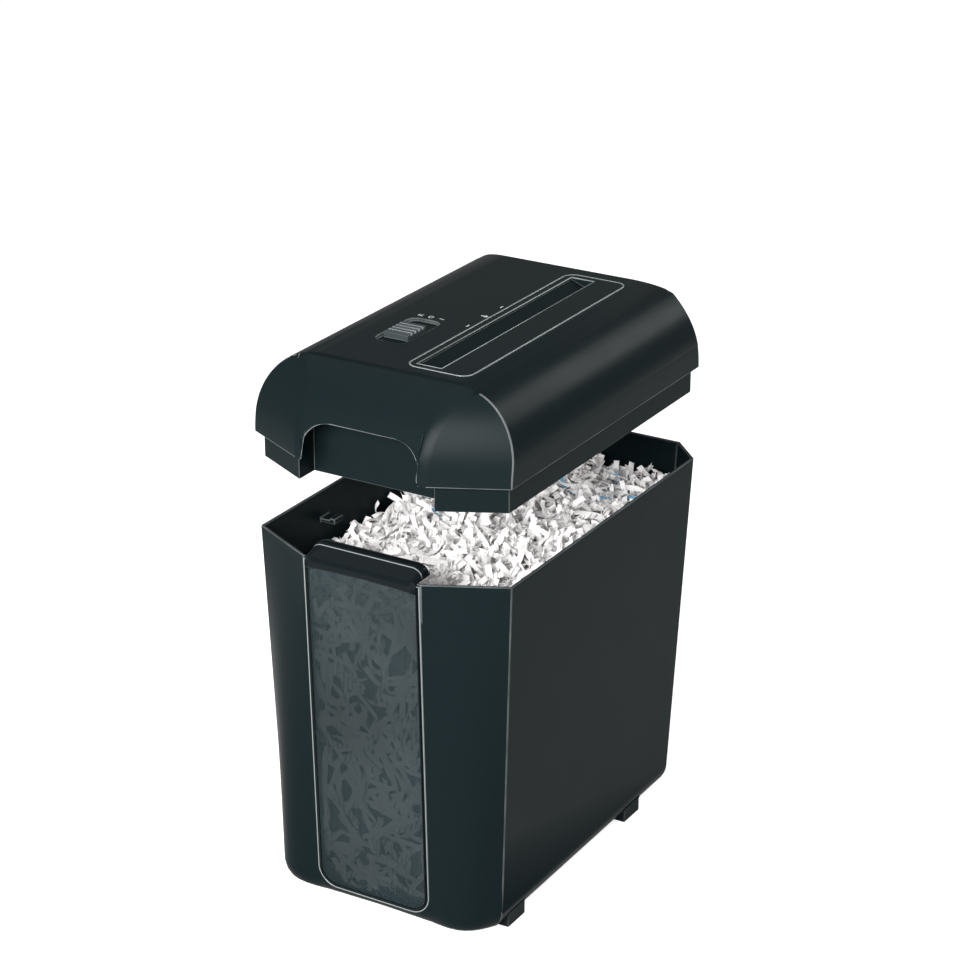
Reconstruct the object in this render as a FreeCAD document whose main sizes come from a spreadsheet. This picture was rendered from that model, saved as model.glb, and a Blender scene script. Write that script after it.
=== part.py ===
"""Paper shredder: an octagonal bin with a window, and a lift-off cutting head.

Frame: +Z up, millimetres, origin on the floor under the centre of the bin's rim.
The window end of the bin faces -Y, the long axis lies along Y, and the head is
drawn lifted straight above its seat on the bin's rim by head_lift.
"""
import FreeCAD, Part
import os
import re

import Sketcher

Vector = FreeCAD.Vector

# ---------------------------------------------------------------- driving sizes
# An entry that starts with "=" follows other sizes.
SIZES = {
    # bin
    "rim_width": 216, "rim_length": 337, "rim_height": 292, "base_gap": 2,
    "side_taper": 11, "near_taper": 10.5, "far_taper": 12.2,
    "near_cut_x": 58, "near_cut_y": 29.5, "near_lean": 10.3, "far_cut": 24.8, "far_lean": 16.4,
    "bin_wall": 2.4, "bin_floor": 2.6, "bin_edge_radius": 20,
    # window in the near end, and the pull over it
    "window_width": 92, "window_bottom": 18, "window_radius": 13, "window_top_drop": 1,
    "panel_proud": 0.6, "panel_gap": 0.2,
    "pull_width": 94, "pull_depth": 21, "pull_rise": 10, "pull_drop": 8, "pull_proud": 3,
    "pull_radius": 4.5,
    # feet
    "foot_length": 25, "foot_width": 34, "foot_height": 13, "foot_inset": 12.3,
    "foot_near_inset": 47.5, "foot_far_inset": 105, "foot_side": "=rim_width/2 - foot_inset",
    "foot_near_y": "=foot_near_inset - rim_length/2", "foot_far_y": "=rim_length/2 - foot_far_inset",
    # paper in the bin
    "paper_clear": 0.5, "paper_depth": 40, "paper_tilt": 4.5,
    # head: outer shell of the top cover, heights from the cover's lower edge
    "head_lift": 75.3, "cover_side_over": 1, "cover_end_over": 1.3, "cover_height": 67.4,
    "cover_width": "=rim_width + 2*cover_side_over",
    "cover_length": "=rim_length + 2*cover_end_over",
    "cover_wall": 2.6, "shoulder_radius": 53, "nose_radius": 76.9,
    "cap_cut_x": 56.7, "cap_cut_y": 28.5, "cap_cut_far": 24.3, "cap_radius": 100,
    "grip_width": 98, "grip_height": 29, "grip_radius": 21,
    # skirt, floor and hand pockets of the lower housing
    "skirt_clear": 1.6, "skirt_depth": 20.2, "skirt_rise": 7, "skirt_wall": 2.4,
    "floor_drop": 14, "pocket_width": 114, "pocket_depth": 27.5, "pocket_top": 40,
    "pocket_wall_y": "=rim_length/2 - pocket_depth", "pocket_gap": 0.6,
    "chute_left": -10, "chute_right": 66, "chute_near": -112, "chute_far": 108,
    # throat and the panel around it
    "panel_left": 8.5, "panel_right": 60, "panel_near": -120, "panel_far": 117,
    "panel_corner": 9, "inlay_thick": 1.6, "inlay_gap": 0.15,
    "throat_left": 14.5, "throat_right": 35, "throat_near": -114, "throat_far": 110,
    "throat_depth": 7, "throat_lip": 1.8, "throat_wall": 1.6, "slit_width": 5, "slit_inset": 2,
    "guide_thick": 1.2, "guide_low": 34, "guide_gap": 0.3,
    # mode switch
    "knob_x": -28.5, "knob_y": -62, "knob_length": 26, "knob_width": 21, "knob_rise": 3,
    "knob_travel": 7, "knob_clear": 0.3, "knob_edge": 1, "stem_width": 4, "stem_length": 6,
    "stem_low": 56, "dish_side": 2.5, "dish_end": 7, "dish_shift": 4, "dish_depth": 2.2,
    "dish_y": "=knob_y + dish_shift", "dish_width": "=knob_width + 2*dish_side",
    "dish_length": "=knob_length + 2*knob_travel + 2*dish_end",
    "dish_radius": 7, "dish_floor": 1.8, "dish_rim": 2, "groove_width": 2, "groove_depth": 1.2,
    "groove_pitch": 5, "groove_count": 4, "switch_width": 16, "switch_length": 36,
    "switch_low": 50,
    # cutting rolls and stripper combs
    "roll_spacing": 34, "nip_x": 31.5, "roll_z": 17, "disc_reach": 2, "core_back": 4,
    "disc_radius": "=roll_spacing/2 + disc_reach", "core_radius": "=roll_spacing/2 - core_back",
    "disc_width": 3.7, "disc_pitch": 8, "disc_count": 28, "disc_start": -112.3,
    "journal_radius": 6, "notch_width": 2.4, "notch_foot": 0.6, "notch_depth": 2.6,
    "notch_over": 1, "notch_count": 8,
    "comb_gap": 0.3, "comb_bar": 4, "comb_low": 9, "comb_high": 25, "comb_finger": 6,
    # steel side frames and the rods between them
    "frame_thick": 2.5, "frame_near_y": -117.5, "frame_far_y": 111.5,
    "frame_left": -94, "frame_right": 78, "frame_high": 50, "frame_corner": 12,
    "flange_width": 12, "bush_wall": 3, "bush_lip": 2, "bush_radius": "=journal_radius + bush_wall",
    "bush_flange": "=bush_radius + bush_lip", "bush_flange_thick": 1.5,
    "run_clear": 0.05, "rod_radius": 4, "rod_left_x": -28, "rod_mid_x": -20, "rod_clear": 2.5,
    "rod_right_x": "=nip_x + roll_spacing/2 + disc_radius + rod_clear",
    "rod_low_z": -6, "rod_mid_z": 42, "rod_high_z": 36,
    # gears: spur gears with thinned teeth, tooth half-widths in modules
    "tooth_tip": 0.32, "tooth_pitch": 0.58, "tooth_root": 0.78, "tooth_sink": 0.3,
    "addendum": 0.9, "dedendum": 1.25,
    "gear_width": 5.5, "gear_gap": 0.5, "twin_teeth": 20, "twin_width": 8,
    "first_module": 0.8, "pinion_teeth": 12, "first_teeth": 60, "first_angle": 200,
    "second_module": 1, "second_small": 12, "second_teeth": 44, "second_angle": 190,
    "third_module": 1.25, "third_small": 12, "third_teeth": 36, "third_angle": 150,
    "pin_radius": 2.5, "plate_thick": 2, "plate_left": -82, "plate_right": 44, "plate_high": 48,
    "plate_low": -8, "post_radius": 3, "post_inset": 6,
    # motor
    "motor_radius": 28, "motor_length": 78, "motor_wall": 3, "motor_boss": 8,
    "motor_shaft": 2.5, "rotor_radius": 21, "rotor_clear": 6, "fan_radius": 22, "fan_width": 9,
    "fan_gap": 2, "fan_blades": 9, "fan_hub": 6, "fan_disc": 1.5, "fan_blade": 1.2,
    "motor_screw_ring": 17.5, "motor_screw_high": 120, "motor_screw_low": 285,
    # board, safety switch, paper sensor and mains inlet
    "board_length": 90, "board_width": 44, "board_thick": 1.6, "board_x": -60, "board_y": -62,
    "board_level": -4, "board_inset": 5, "capacitor_radius": 7, "capacitor_height": 22,
    "relay_length": 20, "relay_width": 15, "relay_height": 16,
    "plunger_inset": 14, "plunger_x": "=plunger_inset - rim_width/2", "plunger_y": -60,
    "plunger_radius": 2.2, "plunger_drop": 5,
    "plunger_collar": 3.6, "plunger_travel": 3, "collar_thick": 1.5, "safety_width": 9,
    "safety_length": 20, "safety_high": 8, "tab_gap": 0.5, "tab_width": 12, "shelf_thick": 3,
    "shelf_gap": 0.8, "stub_width": 5,
    "gland_x": -75, "gland_z": 14, "gland_radius": 5.5, "gland_flange": 9,
    "gland_flange_thick": 3, "gland_bore": 3.4,
    "lever_x": 40.5, "lever_y": -2, "lever_z": 53, "lever_width": 6, "lever_hub": 3,
    "lever_thick": 2, "lever_reach": 10.2, "ear_thick": 2, "lever_pin": 1.5,
    # screws
    "screw_radius": 2, "screw_head": 3.8, "screw_head_height": 2.4, "boss_radius": 4.5,
    "boss_inset_x": 19, "boss_inset_y": 35.5, "boss_x": "=rim_width/2 - boss_inset_x",
    "boss_y": "=rim_length/2 - boss_inset_y", "boss_bite": 12, "frame_screw_x": 64,
}

doc = FreeCAD.newDocument("PaperShredder")
sheet = doc.addObject("Spreadsheet::Sheet", "Sizes")
for row, alias in enumerate(SIZES, start=1):
    sheet.set("A%d" % row, alias)
    sheet.setAlias("B%d" % row, alias)
for row, entry in enumerate(SIZES.values(), start=1):
    sheet.set("B%d" % row, str(entry))
doc.recompute()

PARTS = []


# ------------------------------------------------------------------ small helpers
def bound(expression):
    """The expression with every driving size written as a cell of the sheet."""
    swap = lambda word: "Sizes." + word.group(0) if word.group(0) in SIZES else word.group(0)
    return re.sub(r"[A-Za-z_]+", swap, str(expression))


def number(expression):
    """What an expression comes to with the sheet's present values."""
    value = sheet.evalExpression(bound(expression))
    return float(getattr(value, "Value", value))


def place(item, at, angle="0", axis=(0, 0, 1)):
    """Bind a piece's position, and turn it about an axis through its own origin."""
    item.Placement = FreeCAD.Placement(Vector(), FreeCAD.Rotation(Vector(*axis), 1.0))
    item.setExpression("Placement.Rotation.Angle", bound(angle))
    for letter, expression in zip("xyz", at):
        item.setExpression("Placement.Base." + letter, bound(expression))
    return item


def box(name, size, corner, angle="0", axis=(0, 0, 1)):
    item = doc.addObject("Part::Box", name)
    for side, expression in zip(("Length", "Width", "Height"), size):
        item.setExpression(side, bound(expression))
    return place(item, corner, angle, axis)


def rod(name, radius, length, start, along="y"):
    """A cylinder from its start point along +X, +Y or +Z."""
    item = doc.addObject("Part::Cylinder", name)
    item.setExpression("Radius", bound(radius))
    item.setExpression("Height", bound(length))
    turn, axis = {"x": ("90", (0, 1, 0)), "y": ("-90", (1, 0, 0)), "z": ("0", (0, 0, 1))}[along]
    return place(item, start, turn, axis)


def fuse(name, *items):
    item = doc.addObject("Part::MultiFuse", name)
    item.Shapes = list(items)
    item.Refine = True
    return item


def common(name, *items):
    item = doc.addObject("Part::MultiCommon", name)
    item.Shapes = list(items)
    return item


def cut(name, base, *tools):
    item = doc.addObject("Part::Cut", name)
    item.Base = base
    item.Tool = tools[0] if len(tools) == 1 else fuse(name + "_tools", *tools)
    item.Refine = True
    return item


def group(name, *items):
    """Separate solids kept together in one object."""
    item = doc.addObject("Part::Compound", name)
    item.Links = list(items)
    return item


def part(label, item):
    """Mark an object as a sub-part under its own name."""
    item.Label = label
    PARTS.append(item)
    return item


def sketch(body, plane, offset="0"):
    """A sketch on one of the body's own origin planes, moved along the plane's normal."""
    item = body.newObject("Sketcher::SketchObject", body.Name + "_sketch")
    face = [o for o in body.Origin.OriginFeatures if o.Role == plane + "_Plane"][0]
    item.AttachmentSupport = [(face, "")]
    item.MapMode = "FlatFace"
    item.setExpression("AttachmentOffset.Base.z", bound(offset))
    return item


def outline(item, points):
    """A closed polygon, each corner held at its own bound distances from the origin."""
    corners = [Vector(number(u), number(v), 0) for u, v in points]
    first = item.GeometryCount
    count = len(corners)
    for k in range(count):
        item.addGeometry(Part.LineSegment(corners[k], corners[(k + 1) % count]), False)
    for k in range(count):
        following = first + (k + 1) % count
        item.addConstraint(Sketcher.Constraint("Coincident", first + k, 2, following, 1))
    for k, (u, v) in enumerate(points):
        for kind, value, text in (("DistanceX", corners[k].x, u), ("DistanceY", corners[k].y, v)):
            index = item.addConstraint(Sketcher.Constraint(kind, -1, 1, first + k, 1, value))
            item.setExpression("Constraints[%d]" % index, bound(text))


def ring(item, radius, u="0", v="0"):
    """A circle whose centre and radius are bound."""
    centre = Vector(number(u), number(v), 0)
    index = item.addGeometry(Part.Circle(centre, Vector(0, 0, 1), number(radius)), False)
    item.setExpression("Constraints[%d]" % item.addConstraint(
        Sketcher.Constraint("Radius", index, number(radius))), bound(radius))
    for kind, value, text in (("DistanceX", centre.x, u), ("DistanceY", centre.y, v)):
        if value == 0 and str(text) == "0":
            item.addConstraint(Sketcher.Constraint(
                "PointOnObject", index, 3, -2 if kind == "DistanceX" else -1))
        else:
            held = item.addConstraint(Sketcher.Constraint(kind, -1, 1, index, 3, value))
            item.setExpression("Constraints[%d]" % held, bound(text))


def pad(body, drawn, length):
    item = body.newObject("PartDesign::Pad", body.Name + "_pad")
    item.Profile = drawn
    item.setExpression("Length", bound(length))
    return item


def prism(name, plane, points, start, length):
    """A polygon drawn on a plane and padded from start to start + length along +Z, +Y or +X."""
    body = doc.addObject("PartDesign::Body", name)
    offset = "-((%s) + (%s))" % (start, length) if plane == "XZ" else start
    drawn = sketch(body, plane, offset)
    outline(drawn, points)
    pad(body, drawn, length)
    return body


def round_edges(body, radius, chosen):
    """Fillet the tip's edges for which chosen(edge) is true."""
    doc.recompute()
    base = body.Tip
    names = ["Edge%d" % (k + 1) for k, edge in enumerate(base.Shape.Edges) if chosen(edge)]
    item = body.newObject("PartDesign::Fillet", body.Name + "_fillet")
    item.Base = (base, names)
    item.setExpression("Radius", bound(radius))
    return body


def runs(edge, letter):
    """True for a straight edge that runs along the named axis."""
    ends = [v.Point for v in edge.Vertexes]
    if len(ends) != 2:
        return False
    span = ends[1] - ends[0]
    others = [abs(getattr(span, other)) for other in "xyz" if other != letter]
    return max(others) < 1e-6 and abs(getattr(span, letter)) > 1e-6


def at_level(edge, letter, level):
    """True for an edge whose every end lies at one level of an axis."""
    return all(abs(getattr(v.Point, letter) - level) < 1e-6 for v in edge.Vertexes)


# ---------------------------------------------------------------------- the bin
def leg(own, other, inset):
    """The leg of a corner cut after every wall has moved inward by the inset."""
    return "(%s) - (%s)*(1 - tan(atan2(%s; %s)/2))" % (own, inset, other, own)


def octagon(half_width, near, far, cut_x, cut_y, cut_far, inset="0"):
    """Plan of the bin and the head: wide corner cuts at the near end, small far ones."""
    wide = "(%s) - (%s)" % (half_width, inset)
    front = "(%s) - (%s)" % (near, inset)
    back = "(%s) - (%s)" % (far, inset)
    legs = leg(cut_x, cut_y, inset), leg(cut_y, cut_x, inset), leg(cut_far, cut_far, inset)
    right = [
        ("(%s) - (%s)" % (wide, legs[0]), "-(%s)" % front),
        (wide, "-(%s) + (%s)" % (front, legs[1])),
        (wide, "(%s) - (%s)" % (back, legs[2])),
        ("(%s) - (%s)" % (wide, legs[2]), back),
    ]
    return right + [("-(%s)" % u, v) for u, v in reversed(right)]


def bound_body(name, base):
    """A PartDesign body that starts from another object's shape."""
    body = doc.addObject("PartDesign::Body", name)
    body.BaseFeature = base
    doc.recompute()
    return body


def near_normal_distance(half_width, half_length, cut_x, cut_y):
    """How far a near corner's face lies from the middle, along its own normal."""
    return "((%s - %s)*%s + (%s)*%s)/sqrt((%s)^2 + (%s)^2)" % (
        half_width, cut_x, cut_y, half_length, cut_x, cut_x, cut_y)


CORNERS = (
    ("near_right", "-atan2(near_cut_x; near_cut_y)", "near_cut_x", "near_cut_y", "near_lean"),
    ("near_left", "180 deg + atan2(near_cut_x; near_cut_y)", "near_cut_x", "near_cut_y", "near_lean"),
    ("far_right", "45 deg", "far_cut", "far_cut", "far_lean"),
    ("far_left", "135 deg", "far_cut", "far_cut", "far_lean"),
)


def bin_block(name, inset, bottom, radius):
    """A tapered block with flat leaning faces on all eight sides and a rounded underside.

    Every face lies inset inside the outer one, and the block runs up to the rim.
    """
    sides = prism(name + "_sides", "XZ", [
        ("-(rim_width/2 - side_taper - (%s))" % inset, bottom),
        ("rim_width/2 - side_taper - (%s)" % inset, bottom),
        ("rim_width/2 - (%s)" % inset, "rim_height"),
        ("-(rim_width/2 - (%s))" % inset, "rim_height"),
    ], "-rim_length", "2*rim_length")
    ends = prism(name + "_ends", "YZ", [
        ("-(rim_length/2 - near_taper - (%s))" % inset, bottom),
        ("rim_length/2 - far_taper - (%s)" % inset, bottom),
        ("rim_length/2 - (%s)" % inset, "rim_height"),
        ("-(rim_length/2 - (%s))" % inset, "rim_height"),
    ], "-rim_width", "2*rim_width")
    wedges = []
    for corner, angle, cut_x, cut_y, lean in CORNERS:
        reach = near_normal_distance("rim_width/2", "rim_length/2", cut_x, cut_y)
        wedge = prism("%s_%s" % (name, corner), "XZ", [
            ("%s - %s - (%s)" % (reach, lean, inset), bottom),
            ("rim_length", bottom),
            ("rim_length", "rim_height"),
            ("%s - (%s)" % (reach, inset), "rim_height"),
        ], "-rim_length", "2*rim_length")
        wedges.append(place(wedge, ("0", "0", "0"), angle))
    block = cut(name + "_block", common(name + "_crossing", sides, ends), *wedges)
    level = number(bottom)
    body = bound_body(name, block)
    return round_edges(body, radius, lambda edge: at_level(edge, "z", level))


# ------------------------------------------------------------------------ the bin
def window_outline(name, extra, front, back):
    """The window's rounded outline as a slab between two distances from the near wall."""
    lean = "near_taper/(rim_height - base_gap)"
    foot = "-(rim_length/2 - near_taper)"
    low = "(window_bottom - (%s))" % extra
    high = "(rim_height - window_top_drop + (%s))" % extra
    at_low = "%s - (%s - base_gap)*%s" % (foot, low, lean)
    at_high = "%s - (%s - base_gap)*%s" % (foot, high, lean)
    slab = prism(name, "YZ", [
        ("%s - (%s)" % (at_low, front), low), ("%s + (%s)" % (at_low, back), low),
        ("%s + (%s)" % (at_high, back), high), ("%s - (%s)" % (at_high, front), high),
    ], "-(window_width/2 + (%s))" % extra, "window_width + 2*(%s)" % extra)
    level = number(low)
    return round_edges(slab, "window_radius + (%s)" % extra,
                       lambda edge: at_level(edge, "z", level) and runs(edge, "y"))


def make_bin():
    outer = bin_block("bin_outer", "0", "base_gap", "bin_edge_radius")
    cavity = bin_block("bin_cavity", "bin_wall", "base_gap + bin_floor",
                       "bin_edge_radius - bin_wall")
    opening = window_outline("window_opening", "panel_gap", "2*bin_wall", "2*bin_wall")
    shell = cut("bin_open", outer, cavity, opening)
    shelf_top = "rim_height - skirt_depth - shelf_gap"
    stub_top = "rim_height - floor_drop - plunger_drop - tab_gap"
    shelf = box("tab_shelf", ("rim_width/2 + plunger_x + stub_width/2 - bin_wall/2", "tab_width",
                              "shelf_thick"),
                ("-(rim_width/2 - bin_wall/2)", "plunger_y - tab_width/2",
                 "%s - shelf_thick" % shelf_top))
    stub = box("tab_stub", ("stub_width", "tab_width", "(%s) - (%s) + shelf_thick"
                            % (stub_top, shelf_top)),
               ("plunger_x - stub_width/2", "plunger_y - tab_width/2",
                "%s - shelf_thick" % shelf_top))
    tab = common("tab_trim", fuse("tab", shelf, stub), outer)
    part("bin_shell", fuse("bin_shell_solid", shell, tab))

    panel = window_outline("window_slab", "0", "panel_proud", "bin_wall")
    part("window_panel", panel)

    bar = prism("pull_bar", "XZ", [
        ("-pull_width/2", "rim_height - pull_drop"), ("pull_width/2", "rim_height - pull_drop"),
        ("pull_width/2", "rim_height + pull_rise"), ("-pull_width/2", "rim_height + pull_rise"),
    ], "-(rim_length/2 + pull_proud)", "pull_depth")
    round_edges(bar, "pull_radius", lambda edge: any(
        vertex.Point.z > number("rim_height") for vertex in edge.Vertexes))
    part("window_pull", cut("pull_solid", bar, outer, panel))

    for end, start in (("near", "foot_near_y"), ("far", "foot_far_y")):
        for side, corner in (("left", "-foot_side"), ("right", "foot_side - foot_width")):
            block = box("foot_block_%s_%s" % (end, side),
                        ("foot_width", "foot_length", "foot_height"), (corner, start, "0"))
            part("foot_%s_%s" % (end, side), cut("foot_%s_%s_solid" % (end, side), block, outer))

    pile = bin_block("paper_block", "bin_wall + paper_clear", "base_gap + bin_floor + paper_clear",
                     "bin_edge_radius - bin_wall - paper_clear")
    above = box("paper_above", ("4*rim_width", "4*rim_length", "rim_height"),
                ("-2*rim_width", "-2*rim_length", "0"))
    lid = group("paper_lid", above)
    place(lid, ("0", "0", "rim_height - paper_depth"), "paper_tilt", (0.48, -0.85, 0))
    part("shredded_paper", cut("paper_solid", pile, lid))


# ------------------------------------------------------------------------ the head
HEAD_Z = "rim_height + head_lift"


def head_part(label, item):
    """A piece of the head, drawn from the cover's lower edge and lifted to its place."""
    holder = item if item.TypeId in ("Part::Cut", "Part::MultiFuse", "Part::MultiCommon",
                                     "Part::Compound") else group(item.Name + "_part", item)
    place(holder, ("0", "0", HEAD_Z))
    return part(label, holder)


def cover_block(name, inset, low):
    """The head's outer form: arched long sides, rounded nose ends, leaning corner faces."""
    half = "(cover_width/2 - (%s))" % inset
    arch = prism(name + "_arch", "XZ", [
        ("-" + half, low), (half, low),
        (half, "cover_height - (%s)" % inset), ("-" + half, "cover_height - (%s)" % inset),
    ], "-cover_length", "2*cover_length")
    level = number("cover_height - (%s)" % inset)
    round_edges(arch, "shoulder_radius - (%s)" % inset,
                lambda edge: at_level(edge, "z", level) and runs(edge, "y"))
    centre = "cover_length/2 - nose_radius"
    middle = box(name + "_middle", ("2*cover_width", "2*(%s)" % centre, "2*nose_radius"),
                 ("-cover_width", "-(%s)" % centre, "-nose_radius"))
    noses = [rod("%s_nose_%s" % (name, end), "nose_radius - (%s)" % inset, "2*cover_width",
                 ("-cover_width", sign + "(%s)" % centre, "0"), "x")
             for end, sign in (("near", "-"), ("far", ""))]
    lens = fuse(name + "_lens", middle, *noses)
    reach = near_normal_distance("cover_width/2", "cover_length/2", "cap_cut_x", "cap_cut_y")
    far_reach = near_normal_distance("cover_width/2", "cover_length/2", "cap_cut_far",
                                     "cap_cut_far")
    corners = []
    for corner, angle, distance in (
            ("near_right", "-atan2(cap_cut_x; cap_cut_y)", reach),
            ("near_left", "180 deg + atan2(cap_cut_x; cap_cut_y)", reach),
            ("far_right", "45 deg", far_reach), ("far_left", "135 deg", far_reach)):
        middle_x = "(%s) - cap_radius" % distance
        beyond = box("%s_%s_beyond" % (name, corner), ("cover_length", "2*cover_length",
                                                       "2*cap_radius"),
                     (middle_x, "-cover_length", "-cap_radius"))
        round_part = rod("%s_%s_round" % (name, corner), "cap_radius - (%s)" % inset,
                         "2*cover_length", (middle_x, "-cover_length", "0"), "y")
        corners.append(place(cut("%s_%s" % (name, corner), beyond, round_part),
                             ("0", "0", "0"), angle))
    return cut(name, common(name + "_crossing", arch, lens), *corners)


def skirt_prism(name, inset, bottom, top):
    """The skirt's plan: the bin's inner outline at the rim, drawn in by the skirt's clearance."""
    return prism(name, "XY", octagon("rim_width/2", "rim_length/2", "rim_length/2", "near_cut_x",
                                     "near_cut_y", "far_cut",
                                     "bin_wall + skirt_clear + (%s)" % inset),
                 bottom, "(%s) - (%s)" % (top, bottom))


def grip_arch(name, sign):
    """The rounded hand cut-out through one end of the cover."""
    body = prism(name, "XZ", [
        ("-grip_width/2", "-grip_height"), ("grip_width/2", "-grip_height"),
        ("grip_width/2", "grip_height"), ("-grip_width/2", "grip_height"),
    ], "pocket_wall_y" if sign > 0 else "-2*pocket_wall_y", "pocket_wall_y")
    level = number("grip_height")
    return round_edges(body, "grip_radius",
                       lambda edge: at_level(edge, "z", level) and runs(edge, "y"))


def panel_slab(name, extra, bottom, top):
    body = prism(name, "XY", [
        ("panel_left - (%s)" % extra, "panel_near - (%s)" % extra),
        ("panel_right + (%s)" % extra, "panel_near - (%s)" % extra),
        ("panel_right + (%s)" % extra, "panel_far + (%s)" % extra),
        ("panel_left - (%s)" % extra, "panel_far + (%s)" % extra),
    ], bottom, "(%s) - (%s)" % (top, bottom))
    return round_edges(body, "panel_corner + (%s)" % extra, lambda edge: runs(edge, "z"))


def trough_box(name, extra, bottom, top):
    """A straight box round the throat, grown sideways by extra."""
    return box(name, ("throat_right - throat_left + 2*(%s)" % extra,
                      "throat_far - throat_near + 2*(%s)" % extra, "(%s) - (%s)" % (top, bottom)),
               ("throat_left - (%s)" % extra, "throat_near - (%s)" % extra, bottom))


def corner_posts(name, radius, bottom, top):
    """Four upright cylinders at the cover's screw places."""
    posts = []
    for tag_x, sign_x in (("left", "-"), ("right", "")):
        for tag_y, sign_y in (("near", "-"), ("far", "")):
            posts.append(rod("%s_%s_%s" % (name, tag_y, tag_x), radius,
                             "(%s) - (%s)" % (top, bottom),
                             (sign_x + "boss_x", sign_y + "boss_y", bottom), "z"))
    return posts


FLOOR_TOP = "(skirt_wall - floor_drop)"


def make_cover():
    outer = cover_block("cover_outer", "0", "0")
    inner = cover_block("cover_inner", "cover_wall", "-1")
    shell = cut("cover_hollow", outer, inner)
    dish_under = box("dish_under", ("dish_width + 2*dish_rim", "dish_length + 2*dish_rim",
                                    "dish_depth + dish_floor"),
                     ("knob_x - dish_width/2 - dish_rim", "dish_y - dish_length/2 - dish_rim",
                      "cover_height - dish_depth - dish_floor"))
    bosses = corner_posts("boss", "boss_radius", FLOOR_TOP, "cover_height")
    bosses = common("bosses_trim", group("bosses", *bosses),
                    fuse("boss_space", cover_block("cover_mid", "cover_wall/2", "0"),
                         skirt_prism("boss_low", "skirt_wall", "-floor_drop", "skirt_rise")))
    dish = prism("dish", "XY", [
        ("knob_x - dish_width/2", "dish_y - dish_length/2"),
        ("knob_x + dish_width/2", "dish_y - dish_length/2"),
        ("knob_x + dish_width/2", "dish_y + dish_length/2"),
        ("knob_x - dish_width/2", "dish_y + dish_length/2"),
    ], "cover_height - dish_depth", "2*dish_depth")
    round_edges(dish, "dish_radius", lambda edge: runs(edge, "z"))
    stem_slot = box("stem_slot", ("stem_width + 2*knob_clear",
                                  "stem_length + 2*knob_travel + 2*knob_clear", "cover_height"),
                    ("knob_x - stem_width/2 - knob_clear",
                     "knob_y - stem_length/2 - knob_travel - knob_clear", "stem_low"))
    seat = panel_slab("panel_seat", "inlay_gap", "cover_height - inlay_thick", "cover_height + 1")
    through = trough_box("throat_through", "throat_wall + inlay_gap", "throat_depth",
                         "cover_height")
    pilots = corner_posts("pilot", "screw_radius + run_clear", "-floor_drop",
                          "%s + boss_bite + 1" % FLOOR_TOP)
    gland_hole = rod("gland_hole", "gland_radius + run_clear", "cover_length",
                     ("gland_x", "0", "gland_z"), "y")
    whole = fuse("cover_whole", shell, common("dish_under_trim", dish_under, outer), bosses)
    head_part("top_cover", cut("cover_solid", whole, dish, stem_slot, seat, through, gland_hole,
                               grip_arch("grip_near", -1), grip_arch("grip_far", 1), *pilots))

    plate = panel_slab("panel_plate", "0", "cover_height - inlay_thick", "cover_height")
    trough = trough_box("trough_block", "throat_wall", "cover_height - throat_depth - throat_wall",
                        "cover_height - inlay_thick/2")
    hollow = prism("trough_hollow", "XZ", [
        ("throat_left", "cover_height + 1"), ("throat_right", "cover_height + 1"),
        ("throat_right", "cover_height - throat_depth"),
        ("throat_right - slit_width - slit_inset", "cover_height - throat_depth"),
        ("throat_left", "cover_height - throat_lip"),
    ], "throat_near", "throat_far - throat_near")
    slit = box("slit", ("slit_width", "throat_far - throat_near - 2*slit_inset",
                        "3*throat_wall"),
               ("throat_right - slit_width", "throat_near + slit_inset",
                "cover_height - throat_depth - 2*throat_wall"))
    head_part("throat_panel", cut("throat_solid", fuse("throat_whole", plate, trough), hollow,
                                  slit))


def make_lower_housing():
    outer = skirt_prism("skirt_outer", "0", "-skirt_depth", "skirt_rise")
    below = skirt_prism("skirt_below", "skirt_wall", "-skirt_depth - 1", "-floor_drop")
    above = skirt_prism("skirt_above", "skirt_wall", FLOOR_TOP, "skirt_rise + 1")
    tray = cut("tray", outer, below, above)
    inner = fuse("pocket_space", cover_block("cover_clear", "cover_wall + pocket_gap", "0"), outer)
    walls = []
    hollows = []
    for end, near in (("near", True), ("far", False)):
        low_y = "-rim_length/2" if near else "pocket_wall_y - skirt_wall"
        hollow_y = "-rim_length" if near else "pocket_wall_y"
        walls.append(box("pocket_wall_" + end, (
            "pocket_width + 2*skirt_wall", "rim_length/2 - pocket_wall_y + skirt_wall",
            "pocket_top + skirt_depth + skirt_wall"),
            ("-(pocket_width/2 + skirt_wall)", low_y, "-skirt_depth")))
        hollows.append(box("pocket_hollow_" + end, (
            "pocket_width", "rim_length - pocket_wall_y", "pocket_top + 2*skirt_depth"),
            ("-pocket_width/2", hollow_y, "-2*skirt_depth")))
    chute = box("chute", ("chute_right - chute_left", "chute_far - chute_near", "skirt_depth"),
                ("chute_left", "chute_near", "-skirt_depth"))
    posts = []
    for k, (sign_x, sign_y) in enumerate((("-", "-"), ("-", "+"), ("+", "-"), ("+", "+"))):
        posts.append(rod("board_post_%d" % k, "screw_head", "board_level + floor_drop - 1",
                         ("board_x %s (board_width/2 - board_inset)" % sign_x,
                          "board_y %s (board_length/2 - board_inset)" % sign_y,
                          "1 - floor_drop"), "z"))
    holes = corner_posts("screw_way", "screw_radius + knob_clear", "-floor_drop - 1", FLOOR_TOP)
    holes += frame_screw_rods("flange_way", "screw_radius + knob_clear", "-floor_drop - 1",
                              FLOOR_TOP)
    holes.append(rod("plunger_way", "plunger_radius + run_clear", "floor_drop",
                     ("plunger_x", "plunger_y", "-floor_drop - 1"), "z"))
    whole = fuse("housing_whole", tray, common("pockets", group("pocket_walls", *walls), inner),
                 *posts)
    head_part("lower_housing", cut("housing_solid", whole, chute, *(hollows + holes)))


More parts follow.
